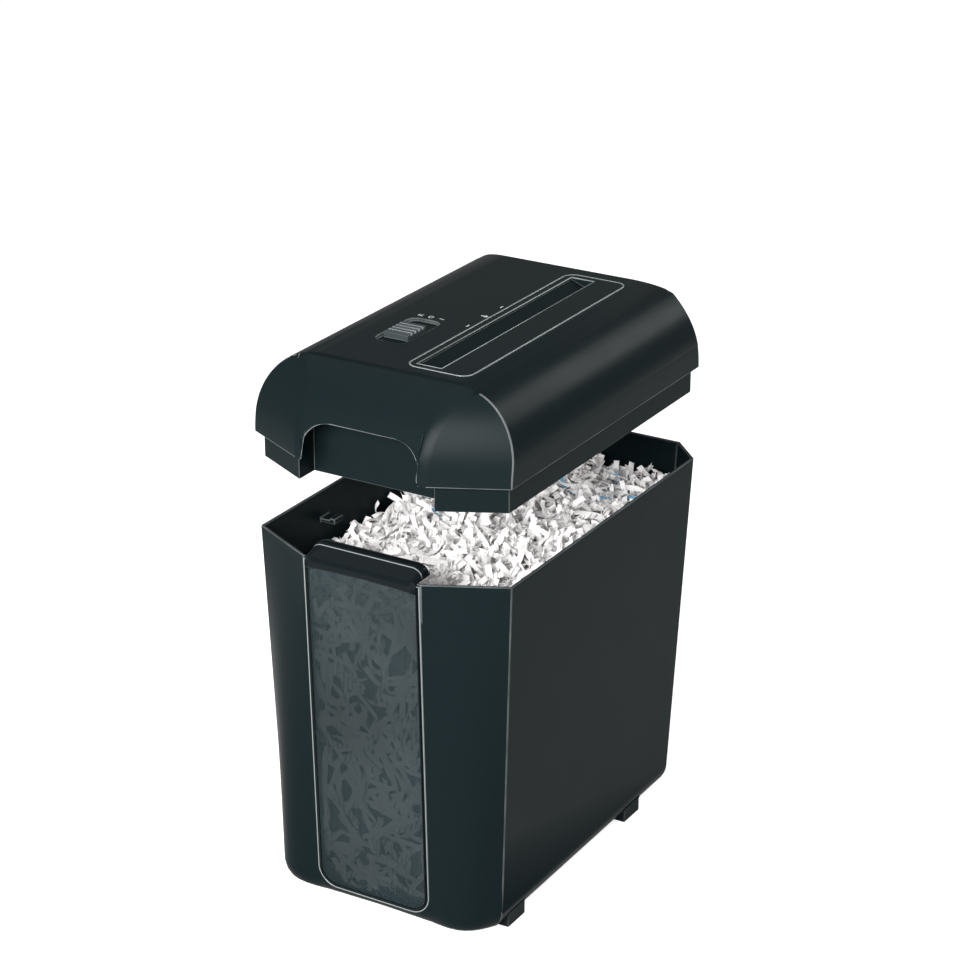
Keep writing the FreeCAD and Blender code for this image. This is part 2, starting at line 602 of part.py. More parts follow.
def frame_screw_rods(name, radius, bottom, top):
    """Upright cylinders at the four places where the side frames are screwed down."""
    rods = []
    for end, y in (("near", "frame_near_y + frame_thick - flange_width/2"),
                   ("far", "frame_far_y + flange_width/2 + frame_thick/2")):
        for side, sign in (("left", "-"), ("right", "")):
            rods.append(rod("%s_%s_%s" % (name, end, side), radius, "(%s) - (%s)" % (top, bottom),
                            (sign + "frame_screw_x", y, bottom), "z"))
    return rods


ROLLS = {"left": ("nip_x - roll_spacing/2", "roll_z"), "right": ("nip_x + roll_spacing/2", "roll_z")}
RODS = (("low_left", "rod_left_x", "rod_low_z"), ("mid", "rod_mid_x", "rod_mid_z"),
        ("low_right", "rod_right_x", "rod_low_z"), ("high_right", "rod_right_x", "rod_high_z"))
THIRD = "third_module*(third_small + third_teeth)/2"
SECOND = "second_module*(second_small + second_teeth)/2"
FIRST = "first_module*(pinion_teeth + first_teeth)/2"
AXES = {}
AXES["drive"] = ROLLS["left"]
AXES["second"] = ("%s + (%s)*cos(third_angle*1 deg)" % (AXES["drive"][0], THIRD),
                  "%s + (%s)*sin(third_angle*1 deg)" % (AXES["drive"][1], THIRD))
AXES["first"] = ("%s + (%s)*cos(second_angle*1 deg)" % (AXES["second"][0], SECOND),
                 "%s + (%s)*sin(second_angle*1 deg)" % (AXES["second"][1], SECOND))
AXES["motor"] = ("%s + (%s)*cos(first_angle*1 deg)" % (AXES["first"][0], FIRST),
                 "%s + (%s)*sin(first_angle*1 deg)" % (AXES["first"][1], FIRST))
LAYER_1 = "frame_far_y + frame_thick + gear_gap"
LAYER_2 = LAYER_1 + " + gear_width + gear_gap"
LAYER_3 = LAYER_2 + " + gear_width + gear_gap"
PLATE_Y = LAYER_3 + " + gear_width + gear_gap"


def motor_screw_rods(name, radius, start, length):
    rods = []
    for k, angle in enumerate(("motor_screw_high", "motor_screw_low")):
        rods.append(rod("%s_%d" % (name, k), radius, length,
                        ("%s + motor_screw_ring*cos(%s*1 deg)" % (AXES["motor"][0], angle), start,
                         "%s + motor_screw_ring*sin(%s*1 deg)" % (AXES["motor"][1], angle)), "y"))
    return rods


def side_frame(label, start, flange_start):
    plate = prism(label + "_plate", "XZ", [
        ("frame_left", FLOOR_TOP), ("frame_right", FLOOR_TOP),
        ("frame_right", "frame_high"), ("frame_left", "frame_high"),
    ], start, "frame_thick")
    level = number("frame_high")
    round_edges(plate, "frame_corner", lambda edge: at_level(edge, "z", level) and runs(edge, "y"))
    flange = box(label + "_flange", ("frame_right - frame_left", "flange_width", "frame_thick"),
                 ("frame_left", flange_start, FLOOR_TOP))
    holes = [rod("%s_bush_hole_%s" % (label, side), "bush_radius + run_clear", "3*frame_thick",
                 (x, "(%s) - frame_thick" % start, z), "y") for side, (x, z) in ROLLS.items()]
    for tag, x, z in RODS:
        holes.append(rod("%s_rod_hole_%s" % (label, tag), "rod_radius/2 + run_clear",
                         "3*frame_thick", (x, "(%s) - frame_thick" % start, z), "y"))
    holes += [item for item in frame_screw_rods(label + "_screw_hole", "screw_radius + run_clear",
                                                "-floor_drop", "0")
              if ("near" in label) == ("_near_" in item.Name.replace(label, ""))]
    if "far" in label:
        holes.append(rod("motor_boss_hole", "motor_boss + run_clear", "3*frame_thick",
                         (AXES["motor"][0], "(%s) - frame_thick" % start, AXES["motor"][1]), "y"))
        holes += motor_screw_rods("motor_screw_hole", "screw_radius + run_clear",
                                  "(%s) - frame_thick" % start, "3*frame_thick")
        for tag in ("first", "second"):
            holes.append(rod("pin_hole_" + tag, "pin_radius/2 + run_clear", "3*frame_thick",
                             (AXES[tag][0], "(%s) - frame_thick" % start, AXES[tag][1]), "y"))
    head_part(label, cut(label + "_solid", fuse(label + "_bent", plate, flange), *holes))


def stepped_rod(name, radius, end_radius, start, end, step, x, z):
    """A rod with thinner ends that go through the plates on both sides."""
    middle = rod(name + "_middle", radius, "(%s) - (%s)" % (end, start), (x, start, z), "y")
    thin = rod(name + "_ends", end_radius, "(%s) - (%s) + 2*(%s)" % (end, start, step),
               (x, "(%s) - (%s)" % (start, step), z), "y")
    return fuse(name, middle, thin)


def make_frames():
    side_frame("side_frame_near", "frame_near_y", "frame_near_y + frame_thick - flange_width")
    side_frame("side_frame_far", "frame_far_y", "frame_far_y")
    head_part("tie_rods", group("tie_rods_all", *[
        stepped_rod("tie_rod_" + tag, "rod_radius", "rod_radius/2", "frame_near_y + frame_thick",
                    "frame_far_y", "frame_thick", x, z) for tag, x, z in RODS]))
    bushes = []
    for end, sleeve_y, flange_y in (
            ("near", "frame_near_y", "frame_near_y + frame_thick"),
            ("far", "frame_far_y - bush_flange_thick", "frame_far_y - bush_flange_thick")):
        for side, (x, z) in ROLLS.items():
            tag = "bush_%s_%s" % (end, side)
            sleeve = rod(tag + "_sleeve", "bush_radius", "frame_thick + bush_flange_thick",
                         (x, sleeve_y, z), "y")
            flange = rod(tag + "_flange", "bush_flange", "bush_flange_thick", (x, flange_y, z), "y")
            bore = rod(tag + "_bore", "journal_radius + run_clear", "5*frame_thick",
                       (x, "(%s) - frame_thick" % sleeve_y, z), "y")
            bushes.append(cut(tag, fuse(tag + "_whole", sleeve, flange), bore))
    head_part("shaft_bushes", group("shaft_bushes_all", *bushes))
    plate = box("gear_plate_sheet", ("plate_right - plate_left", "plate_thick",
                                     "plate_high - plate_low"), ("plate_left", PLATE_Y, "plate_low"))
    start = "frame_far_y + frame_thick"
    posts = [rod("gear_post_%d" % k, "post_radius", "%s - (%s) + plate_thick" % (PLATE_Y, start),
                 (x, start, z), "y") for k, (x, z) in enumerate((
                     ("plate_left + post_inset", "plate_low + post_inset"),
                     ("plate_left + post_inset", "plate_high - post_inset"),
                     ("plate_right - post_inset", "plate_low + post_inset"),
                     ("plate_right - post_inset", "plate_high - post_inset")))]
    holes = [rod("plate_hole_" + tag, size, "3*plate_thick",
                 (AXES[tag][0], "%s - plate_thick" % PLATE_Y, AXES[tag][1]), "y")
             for tag, size in (("first", "pin_radius/2 + run_clear"),
                               ("second", "pin_radius/2 + run_clear"),
                               ("drive", "journal_radius + run_clear"))]
    head_part("gear_plate", cut("gear_plate_solid", fuse("gear_plate_whole", plate, *posts),
                                *holes))
    head_part("gear_pins", group("gear_pins_all", *[
        stepped_rod("gear_pin_" + tag, "pin_radius", "pin_radius/2", start, PLATE_Y, "plate_thick",
                    *AXES[tag]) for tag in ("first", "second")]))


def gear(name, teeth, module, width, bore):
    """A spur gear from y = 0 to its width, with a tooth on its own +X axis."""
    body = doc.addObject("PartDesign::Body", name)
    root = "((%s)*(%s)/2 - dedendum*(%s))" % (module, teeth, module)
    tip = "((%s)*(%s)/2 + addendum*(%s))" % (module, teeth, module)
    pitch = "((%s)*(%s)/2)" % (module, teeth)
    disc = sketch(body, "XZ", "-(%s)" % width)
    ring(disc, root)
    ring(disc, bore)
    pad(body, disc, width)
    tooth = sketch(body, "XZ", "-(%s)" % width)
    lower = "(%s - tooth_sink*(%s))" % (root, module)
    outline(tooth, [(lower, "-tooth_root*(%s)" % module), (pitch, "-tooth_pitch*(%s)" % module),
                    (tip, "-tooth_tip*(%s)" % module), (tip, "tooth_tip*(%s)" % module),
                    (pitch, "tooth_pitch*(%s)" % module), (lower, "tooth_root*(%s)" % module)])
    one = body.newObject("PartDesign::Pad", name + "_tooth")
    one.Profile = tooth
    one.setExpression("Length", bound(width))
    return around(body, one, tooth, teeth)


def around(body, feature, drawn, count):
    """Repeat a feature round the sketch's own normal through its origin."""
    item = body.newObject("PartDesign::PolarPattern", feature.Name + "_round")
    item.Originals = [feature]
    item.Axis = (drawn, ["N_Axis"])
    item.Angle = 360
    item.setExpression("Occurrences", bound(count))
    body.Tip = item
    return body


def line_of(a, b):
    """The direction, in degrees, from one gear axis to another in the X-Z plane."""
    return "atan2((%s) - (%s); (%s) - (%s))" % (AXES[b][1], AXES[a][1], AXES[b][0], AXES[a][0])


def mesh_phase(line, teeth_from, phase_from, teeth_to):
    """The phase that puts a gap of the second gear where the first one has a tooth."""
    return "(%s + 180 deg + 180 deg/(%s) + (%s)/(%s)*(%s - (%s)))" % (
        line, teeth_to, teeth_from, teeth_to, line, phase_from)


def on_axis(item, tag, start, phase):
    """Put a gear on its axis: positive phase turns +X towards +Z."""
    return place(item, (AXES[tag][0], start, AXES[tag][1]), phase, (0, -1, 0))


def make_gears():
    AXES["twin"] = ROLLS["right"]
    twin_start = "frame_near_y - gear_gap - twin_width"
    twin_module = "(roll_spacing/twin_teeth)"
    left = gear("twin_left", "twin_teeth", twin_module, "twin_width", "journal_radius + run_clear")
    head_part("sync_gear_left", on_axis(left, "drive", twin_start, "0 deg"))
    right = gear("twin_right", "twin_teeth", twin_module, "twin_width",
                 "journal_radius + run_clear")
    head_part("sync_gear_right", on_axis(right, "twin", twin_start, mesh_phase(
        line_of("drive", "twin"), "twin_teeth", "0 deg", "twin_teeth")))

    drive = gear("third_large", "third_teeth", "third_module", "gear_width",
                 "journal_radius + run_clear")
    head_part("drive_gear", on_axis(drive, "drive", LAYER_3, "0 deg"))

    phase = mesh_phase(line_of("drive", "second"), "third_teeth", "0 deg", "third_small")
    small = on_axis(gear("third_pinion", "third_small", "third_module", "gear_width + gear_gap",
                         "pin_radius + run_clear"), "second", LAYER_3 + " - gear_gap", phase)
    large = on_axis(gear("second_large", "second_teeth", "second_module", "gear_width",
                         "pin_radius + run_clear"), "second", LAYER_2, "0 deg")
    head_part("second_gear", fuse("second_gear_solid", large, small))

    phase = mesh_phase(line_of("second", "first"), "second_teeth", "0 deg", "second_small")
    small = on_axis(gear("second_pinion", "second_small", "second_module",
                         "gear_width + gear_gap", "pin_radius + run_clear"), "first",
                    LAYER_2 + " - gear_gap", phase)
    large = on_axis(gear("first_large", "first_teeth", "first_module", "gear_width",
                         "pin_radius + run_clear"), "first", LAYER_1, "0 deg")
    head_part("first_gear", fuse("first_gear_solid", large, small))

    phase = mesh_phase(line_of("first", "motor"), "first_teeth", "0 deg", "pinion_teeth")
    head_part("motor_pinion", on_axis(gear(
        "pinion", "pinion_teeth", "first_module", "gear_width", "motor_shaft + run_clear"),
        "motor", LAYER_1, phase))


def cutting_roll(label, side, shift, fewer, end):
    """A roll: round core with thin discs along it, notched all along for cross cuts."""
    x, z = ROLLS[side]
    body = doc.addObject("PartDesign::Body", label + "_body")
    start = "disc_start + (%s)" % shift
    count = "disc_count - (%s)" % fewer
    first = sketch(body, "XZ", "-(%s + disc_width)" % start)
    ring(first, "disc_radius")
    pad(body, first, "disc_width")
    row = body.newObject("PartDesign::LinearPattern", label + "_row")
    row.Originals = [body.Tip]
    row.Direction = (first, ["N_Axis"])
    row.Reversed = True
    row.setExpression("Length", bound("disc_pitch*(%s - 1)" % count))
    row.setExpression("Occurrences", bound(count))
    body.Tip = row
    notch = sketch(body, "XZ", "-(%s)" % start)
    outline(notch, [("disc_radius - notch_depth", "-notch_foot/2"),
                    ("disc_radius + notch_over", "-notch_width/2"),
                    ("disc_radius + notch_over", "notch_width/2"),
                    ("disc_radius - notch_depth", "notch_foot/2")])
    groove = body.newObject("PartDesign::Pocket", label + "_notch")
    groove.Profile = notch
    groove.Reversed = True
    groove.setExpression("Length", bound("disc_pitch*(%s)" % count))
    around(body, groove, notch, "notch_count")
    place(body, (x, "0", z))
    core_start = "frame_near_y + frame_thick + bush_flange_thick + gear_gap"
    core_end = "frame_far_y - bush_flange_thick - gear_gap"
    core = rod(label + "_core", "core_radius", "(%s) - (%s)" % (core_end, core_start),
               (x, core_start, z), "y")
    journal_start = "frame_near_y - gear_gap - twin_width"
    journal = rod(label + "_journal", "journal_radius", "(%s) - (%s)" % (end, journal_start),
                  (x, journal_start, z), "y")
    head_part(label, fuse(label + "_solid", body, core, journal))


def comb(label, side, shift, fewer, bar_x, tip_x):
    """Stripper comb: a bar beside the roll with a finger in each gap between discs."""
    low = "(comb_low)"
    bar = box(label + "_bar", ("comb_bar", "frame_far_y - frame_near_y - frame_thick",
                               "comb_high - comb_low"),
              (bar_x, "frame_near_y + frame_thick", low))
    body = doc.addObject("PartDesign::Body", label + "_fingers")
    start = "disc_start + (%s) + disc_width + comb_gap" % shift
    width = "disc_pitch - disc_width - 2*comb_gap"
    root_x = "(%s) + comb_bar/2" % bar_x
    ends = (root_x, tip_x)
    finger = sketch(body, "XZ", "-(%s + %s)" % (start, width))
    z_low = "roll_z - comb_finger/2"
    z_high = "roll_z + comb_finger/2"
    outline(finger, [(ends[0], z_low), (ends[1], z_low), (ends[1], z_high), (ends[0], z_high)])
    pad(body, finger, width)
    row = body.newObject("PartDesign::LinearPattern", label + "_row")
    row.Originals = [body.Tip]
    row.Direction = (finger, ["N_Axis"])
    row.Reversed = True
    count = "disc_count - 1 - (%s)" % fewer
    row.setExpression("Length", bound("disc_pitch*(%s - 1)" % count))
    row.setExpression("Occurrences", bound(count))
    body.Tip = row
    head_part(label, fuse(label + "_solid", bar, body))


def make_rolls():
    cutting_roll("cutter_left", "left", "0", "0", PLATE_Y + " + plate_thick")
    cutting_roll("cutter_right", "right", "disc_pitch/2", "1", "frame_far_y + frame_thick")
    comb("stripper_comb_left", "left", "0", "0",
         "nip_x - roll_spacing/2 - disc_radius - comb_gap - comb_bar",
         "nip_x - roll_spacing/2 - core_radius - comb_gap")
    comb("stripper_comb_right", "right", "disc_pitch/2", "1",
         "nip_x + roll_spacing/2 + disc_radius + comb_gap",
         "nip_x + roll_spacing/2 + core_radius + comb_gap")


def make_paper_path():
    length = "frame_far_y - frame_near_y - frame_thick"
    start = "frame_near_y + frame_thick"
    top = "cover_height - throat_depth - throat_wall - guide_gap"
    left = box("guide_left_sheet", ("guide_thick", length, "(%s) - guide_low" % top),
               ("throat_right - slit_width - guide_thick", start, "guide_low"))
    head_part("paper_guide_left", group("guide_left_all", left))
    right = box("guide_right_sheet", ("guide_thick", length, "(%s) - guide_low" % top),
                ("throat_right", start, "guide_low"))
    slot = box("lever_slot", ("3*guide_thick", "lever_width + 2*knob_clear",
                              "lever_reach + 2*lever_hub"),
               ("throat_right - guide_thick", "lever_y - lever_width/2 - knob_clear",
                "lever_z - lever_reach - lever_hub/2"))
    ears = [box("ear_" + tag, ("lever_x + lever_hub - throat_right", "ear_thick",
                               "2*lever_hub"), ("throat_right", y, "lever_z - lever_hub"))
            for tag, y in (("near", "lever_y - lever_width/2 - knob_clear - ear_thick"),
                           ("far", "lever_y + lever_width/2 + knob_clear"))]
    pin_hole = rod("lever_pin_hole", "lever_pin + run_clear", "2*lever_width",
                   ("lever_x", "lever_y - lever_width", "lever_z"), "y")
    head_part("paper_guide_right", cut("guide_right_solid",
                                       fuse("guide_right_whole", right, *ears), slot, pin_hole))
    hub = rod("lever_hub_rod", "lever_hub", "lever_width",
              ("lever_x", "lever_y - lever_width/2", "lever_z"), "y")
    arm = box("lever_arm", ("lever_reach", "lever_width", "lever_thick"),
              ("lever_x - lever_reach", "lever_y - lever_width/2", "lever_z - lever_thick/2"))
    bore = rod("lever_bore", "lever_pin + run_clear", "2*lever_width",
               ("lever_x", "lever_y - lever_width", "lever_z"), "y")
    head_part("paper_sensor_lever", cut("lever_solid", fuse("lever_whole", hub, arm), bore))
    head_part("lever_pivot_pin", group("lever_pin_all", rod(
        "lever_pin_rod", "lever_pin", "lever_width + 2*knob_clear + 2*ear_thick",
        ("lever_x", "lever_y - lever_width/2 - knob_clear - ear_thick", "lever_z"), "y")))


def make_motor():
    x, z = AXES["motor"]
    front = "frame_far_y"
    back = "frame_far_y - motor_length"
    can = rod("motor_can", "motor_radius", "motor_length", (x, back, z), "y")
    boss = rod("motor_boss_rod", "motor_boss", "motor_wall + frame_thick",
               (x, "%s - motor_wall" % front, z), "y")
    inside = rod("motor_inside", "motor_radius - motor_wall", "motor_length - 2*motor_wall",
                 (x, "%s + motor_wall" % back, z), "y")
    bore = rod("motor_bore", "motor_shaft + run_clear", "2*motor_length",
               (x, "%s - motor_wall" % back, z), "y")
    taps = motor_screw_rods("motor_tap", "screw_radius + run_clear",
                            "%s - 2*motor_wall" % front, "3*motor_wall")
    head_part("motor_case", cut("motor_case_solid", fuse("motor_case_whole", can, boss), inside,
                                bore, *taps))
    core = rod("rotor_core", "rotor_radius", "motor_length - 2*motor_wall - 2*rotor_clear",
               (x, "%s + motor_wall + rotor_clear" % back, z), "y")
    shaft_start = "%s - fan_gap - fan_width" % back
    shaft = rod("rotor_shaft", "motor_shaft", "%s + gear_width - (%s)" % (LAYER_1, shaft_start),
                (x, shaft_start, z), "y")
    head_part("motor_rotor", fuse("rotor_solid", core, shaft))
    hub = rod("fan_hub_rod", "fan_hub", "fan_width", (x, shaft_start, z), "y")
    disc = rod("fan_back", "fan_radius", "fan_disc", (x, shaft_start, z), "y")
    blades = []
    for k in range(int(SIZES["fan_blades"])):
        blade = box("fan_blade_%d" % k, ("fan_radius - fan_hub/2", "fan_width", "fan_blade"),
                    ("fan_hub/2", "0", "-fan_blade/2"))
        blades.append(place(group("fan_blade_at_%d" % k, blade), (x, shaft_start, z),
                            "%d*360 deg/fan_blades" % k, (0, -1, 0)))
    bore = rod("fan_bore", "motor_shaft + run_clear", "3*fan_width",
               (x, "%s - fan_width" % shaft_start, z), "y")
    head_part("motor_fan", cut("fan_solid", fuse("fan_whole", hub, disc, *blades), bore))
    screws = motor_screw_rods("motor_screw", "screw_radius", "frame_far_y - motor_wall",
                              "motor_wall + frame_thick")
    heads = motor_screw_rods("motor_screw_top", "screw_head", "frame_far_y + frame_thick",
                             "screw_head_height")
    head_part("motor_screws", group("motor_screws_all", *[
        fuse("motor_bolt_%d" % k, a, b) for k, (a, b) in enumerate(zip(screws, heads))]))


def make_electrics():
    corner_x = "board_x - board_width/2"
    corner_y = "board_y - board_length/2"
    head_part("circuit_board", group("board_all", box(
        "board", ("board_width", "board_length", "board_thick"),
        (corner_x, corner_y, "board_level"))))
    top = "board_level + board_thick"
    head_part("capacitor", group("capacitor_all", rod(
        "capacitor_can", "capacitor_radius", "capacitor_height",
        ("board_x", "board_y - board_length/4", top), "z")))
    head_part("relay", group("relay_all", box(
        "relay_box", ("relay_width", "relay_length", "relay_height"),
        ("board_x - relay_width/2", "board_y + board_length/8", top))))

    under = "cover_height - dish_depth - dish_floor - guide_gap"
    case = box("switch_case", ("switch_width", "switch_length", "(%s) - switch_low" % under),
               ("knob_x - switch_width/2", "knob_y - switch_length/2", "switch_low"))
    well = box("switch_well", ("stem_width + 2*knob_clear",
                               "stem_length + 2*knob_travel + 2*knob_clear", "cover_height"),
               ("knob_x - stem_width/2 - knob_clear",
                "knob_y - stem_length/2 - knob_travel - knob_clear", "stem_low - knob_clear"))
    head_part("slide_switch", cut("switch_solid", case, well))

    low = "cover_height - dish_depth + knob_clear"
    cap = prism("knob_cap", "XY", [
        ("knob_x - knob_width/2", "knob_y - knob_length/2"),
        ("knob_x + knob_width/2", "knob_y - knob_length/2"),
        ("knob_x + knob_width/2", "knob_y + knob_length/2"),
        ("knob_x - knob_width/2", "knob_y + knob_length/2"),
    ], low, "cover_height + knob_rise - (%s)" % low)
    bottom = number(low)
    round_edges(cap, "knob_edge", lambda edge: not at_level(edge, "z", bottom))
    grooves = [box("knob_groove_%d" % k, ("2*knob_width", "groove_width", "2*groove_depth"),
                   ("knob_x - knob_width", "knob_y - groove_width/2 + groove_pitch*(%d - "
                    "(groove_count - 1)/2)" % k, "cover_height + knob_rise - groove_depth"))
               for k in range(int(SIZES["groove_count"]))]
    stem = box("knob_stem", ("stem_width", "stem_length", "%s - stem_low + 1" % low),
               ("knob_x - stem_width/2", "knob_y - stem_length/2", "stem_low"))
    head_part("mode_knob", cut("knob_solid", fuse("knob_whole", cap, stem), *grooves))

    shaft_low = "-floor_drop - plunger_drop"
    collar_low = "%s + run_clear" % FLOOR_TOP
    hood = "(%s + collar_thick + plunger_travel + 2*knob_clear)" % collar_low
    tail = "(%s + plunger_travel)" % hood
    pin = rod("plunger_pin", "plunger_radius", "%s - (%s)" % (tail, shaft_low),
              ("plunger_x", "plunger_y", shaft_low), "z")
    collar = rod("plunger_collar_rod", "plunger_collar", "collar_thick",
                 ("plunger_x", "plunger_y", collar_low), "z")
    head_part("safety_plunger", fuse("plunger_solid", pin, collar))
    body = box("safety_body", ("safety_width", "safety_length", "safety_high + floor_drop "
                               "- skirt_wall"),
               ("plunger_x - safety_width/2", "plunger_y - safety_length/2", FLOOR_TOP))
    room = rod("collar_room", "plunger_collar + knob_clear", "%s - (%s)" % (hood, FLOOR_TOP),
               ("plunger_x", "plunger_y", FLOOR_TOP), "z")
    well = rod("plunger_well", "plunger_radius + run_clear", "2*plunger_travel + knob_clear",
               ("plunger_x", "plunger_y", hood), "z")
    head_part("safety_switch", cut("safety_solid", body, room, well))

    face = "cover_length/2 - nose_radius + sqrt(nose_radius^2 - (gland_z - gland_flange)^2)"
    neck = rod("gland_neck", "gland_radius", "3*cover_wall + gland_flange_thick",
               ("gland_x", "%s - 3*cover_wall" % face, "gland_z"), "y")
    flange = rod("gland_rim", "gland_flange", "gland_flange_thick", ("gland_x", face, "gland_z"),
                 "y")
    mouth = rod("gland_mouth", "gland_bore", "8*cover_wall", ("gland_x", "%s - 4*cover_wall" % face,
                                                             "gland_z"), "y")
    head_part("cord_gland", cut("gland_solid", fuse("gland_whole", neck, flange), mouth))


def make_screws():
    shanks = corner_posts("cover_screw", "screw_radius", "-floor_drop",
                          "%s + boss_bite" % FLOOR_TOP)
    heads = corner_posts("cover_screw_top", "screw_head", "-floor_drop - screw_head_height",
                         "-floor_drop")
    head_part("cover_screws", group("cover_screws_all", *[
        fuse("cover_bolt_%d" % k, a, b) for k, (a, b) in enumerate(zip(shanks, heads))]))
    shanks = frame_screw_rods("frame_screw", "screw_radius", "-floor_drop",
                              "%s + frame_thick" % FLOOR_TOP)
    heads = frame_screw_rods("frame_screw_top", "screw_head", "-floor_drop - screw_head_height",
                             "-floor_drop")
    head_part("frame_screws", group("frame_screws_all", *[
        fuse("frame_bolt_%d" % k, a, b) for k, (a, b) in enumerate(zip(shanks, heads))]))


def write_parts():
    """Check every object and write each sub-part to its own file."""
    doc.recompute()
    failed = [item.Name for item in doc.Objects
              if {"Invalid", "Error"} & set(item.State)]
    if failed:
        raise RuntimeError("failed objects: " + ", ".join(failed))
    os.makedirs("parts", exist_ok=True)
    for item in PARTS:
        shape = item.Shape
        if shape.isNull() or not shape.isValid() or not shape.Solids:
            raise RuntimeError("bad shape: " + item.Label)
        if min(solid.Volume for solid in shape.Solids) <= 0:
            raise RuntimeError("inside-out solid: " + item.Label)
        shape.exportStep(os.path.join("parts", item.Label + ".step"))
        print("%-22s %2d solids %10.0f mm3" % (item.Label, len(shape.Solids), shape.Volume))


make_bin()
make_cover()
make_lower_housing()
make_frames()
make_gears()
make_rolls()
make_paper_path()
make_motor()
make_electrics()
make_screws()
write_parts()
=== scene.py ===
"""Paper shredder: finishes, loose shreds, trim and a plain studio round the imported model.

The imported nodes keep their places. Moulded pieces get a welded copy with small
rounded edges, the paper is made of separate strips, and each operator below
finishes one piece or one group of like pieces. Lengths are in metres.
"""

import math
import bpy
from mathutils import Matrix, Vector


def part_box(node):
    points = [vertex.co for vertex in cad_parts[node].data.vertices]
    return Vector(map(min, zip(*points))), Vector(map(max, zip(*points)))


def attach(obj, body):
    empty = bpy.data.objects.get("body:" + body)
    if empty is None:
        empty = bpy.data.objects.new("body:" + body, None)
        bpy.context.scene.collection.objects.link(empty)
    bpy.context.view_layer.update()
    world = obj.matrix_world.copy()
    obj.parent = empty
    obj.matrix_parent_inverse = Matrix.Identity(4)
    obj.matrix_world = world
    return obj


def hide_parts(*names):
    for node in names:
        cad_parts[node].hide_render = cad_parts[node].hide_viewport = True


bl_info = {
    "name": "Paper shredder dressing",
    "version": (1, 0, 0),
    "blender": (4, 5, 0),
    "location": "View3D > Sidebar > Shredder",
    "description": "Finishes the pieces of a cross-cut paper shredder and lights them",
    "category": "Object",
}

import bmesh
import bpy
from bpy.props import FloatProperty, FloatVectorProperty, IntProperty, PointerProperty
from mathutils import Matrix, Vector

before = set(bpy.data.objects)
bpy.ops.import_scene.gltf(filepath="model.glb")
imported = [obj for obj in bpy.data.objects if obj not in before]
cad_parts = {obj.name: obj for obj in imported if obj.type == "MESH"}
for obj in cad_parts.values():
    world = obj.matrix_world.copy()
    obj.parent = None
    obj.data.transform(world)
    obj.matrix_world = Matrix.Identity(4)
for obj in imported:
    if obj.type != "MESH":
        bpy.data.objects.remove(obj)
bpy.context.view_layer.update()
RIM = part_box("bin_shell")[1].z
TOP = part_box("top_cover")[1].z
HEAD_DROP = 0.075  # how far the head comes down to its seat
WELD = 3e-6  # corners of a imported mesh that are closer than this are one
INK = 0.00003  # half the thickness of a printed mark
SQUARE_ON = 0.9  # how squarely a face looks along a direction to count as facing it


# -------------------------------------------------------------------- properties
class ShredderColours(bpy.types.PropertyGroup):
    bin_black: FloatVectorProperty(
        name="Bin", description="Colour of the bin's satin plastic", subtype="COLOR",
        min=0, max=1, default=(0.0038, 0.0076, 0.0086))
    head_black: FloatVectorProperty(
        name="Head", description="Colour of the head's moulded shell", subtype="COLOR",
        min=0, max=1, default=(0.0044, 0.0082, 0.0091))
    trim_black: FloatVectorProperty(
        name="Trim", description="Colour of the glossy trim round the window", subtype="COLOR",
        min=0, max=1, default=(0.004, 0.006, 0.007))
    knob_grey: FloatVectorProperty(
        name="Knob", description="Colour of the slide knob", subtype="COLOR",
        min=0, max=1, default=(0.030, 0.037, 0.039))
    window_smoke: FloatVectorProperty(
        name="Window", description="Colour of the smoked window", subtype="COLOR",
        min=0, max=1, default=(0.011, 0.018, 0.020))
    paper_white: FloatVectorProperty(
        name="Paper", description="Colour of the shredded paper", subtype="COLOR",
        min=0, max=1, default=(0.90, 0.885, 0.88))
    mark_grey: FloatVectorProperty(
        name="Marks", description="Colour of the printed marks", subtype="COLOR",
        min=0, max=1, default=(0.42, 0.46, 0.46))
    steel: FloatVectorProperty(
        name="Steel", description="Colour of the plated steel", subtype="COLOR",
        min=0, max=1, default=(0.55, 0.56, 0.57))


class ShredderSizes(bpy.types.PropertyGroup):
    shell_round: FloatProperty(
        name="Shell edges", description="Radius of the shells' rounded edges",
        default=0.0009, min=0, unit="LENGTH", precision=5)
    corner_bulge: FloatProperty(
        name="Corner bulge", description="How far the bin's corner faces swell at the foot",
        default=0.013, min=0, unit="LENGTH", precision=5)
    nose_round: FloatProperty(
        name="Nose corners", description="Reach of the soft rounding beside the head's ends",
        default=0.005, min=0, unit="LENGTH", precision=5)
    small_round: FloatProperty(
        name="Small edges", description="Radius of the small mouldings' rounded edges",
        default=0.00045, min=0, unit="LENGTH", precision=5)
    bead_radius: FloatProperty(
        name="Panel bead", description="Radius of the bead round the throat panel",
        default=0.00055, min=0, unit="LENGTH", precision=5)
    frame_width: FloatProperty(
        name="Window frame", description="Width of the glossy frame round the window",
        default=0.0034, min=0, unit="LENGTH", precision=5)
    strip_length: FloatProperty(
        name="Shred length", description="Length of a cross-cut shred", default=0.029,
        min=0.005, unit="LENGTH", precision=5)
    strip_width: FloatProperty(
        name="Shred width", description="Width of a shred", default=0.0046,
        min=0.001, unit="LENGTH", precision=5)
    strip_thickness: FloatProperty(
        name="Shred thickness", description="Thickness of a shred", default=0.00018,
        min=0.00005, unit="LENGTH", precision=6)
    heap_density: FloatProperty(
        name="Heap density", description="Shreds on a square metre of the heap",
        default=46000, min=0)
    window_density: FloatProperty(
        name="Window density", description="Shreds on a square metre behind the window",
        default=26000, min=0)
    seed: IntProperty(
        name="Seed", description="Seed of the shreds' places", default=7, min=0)


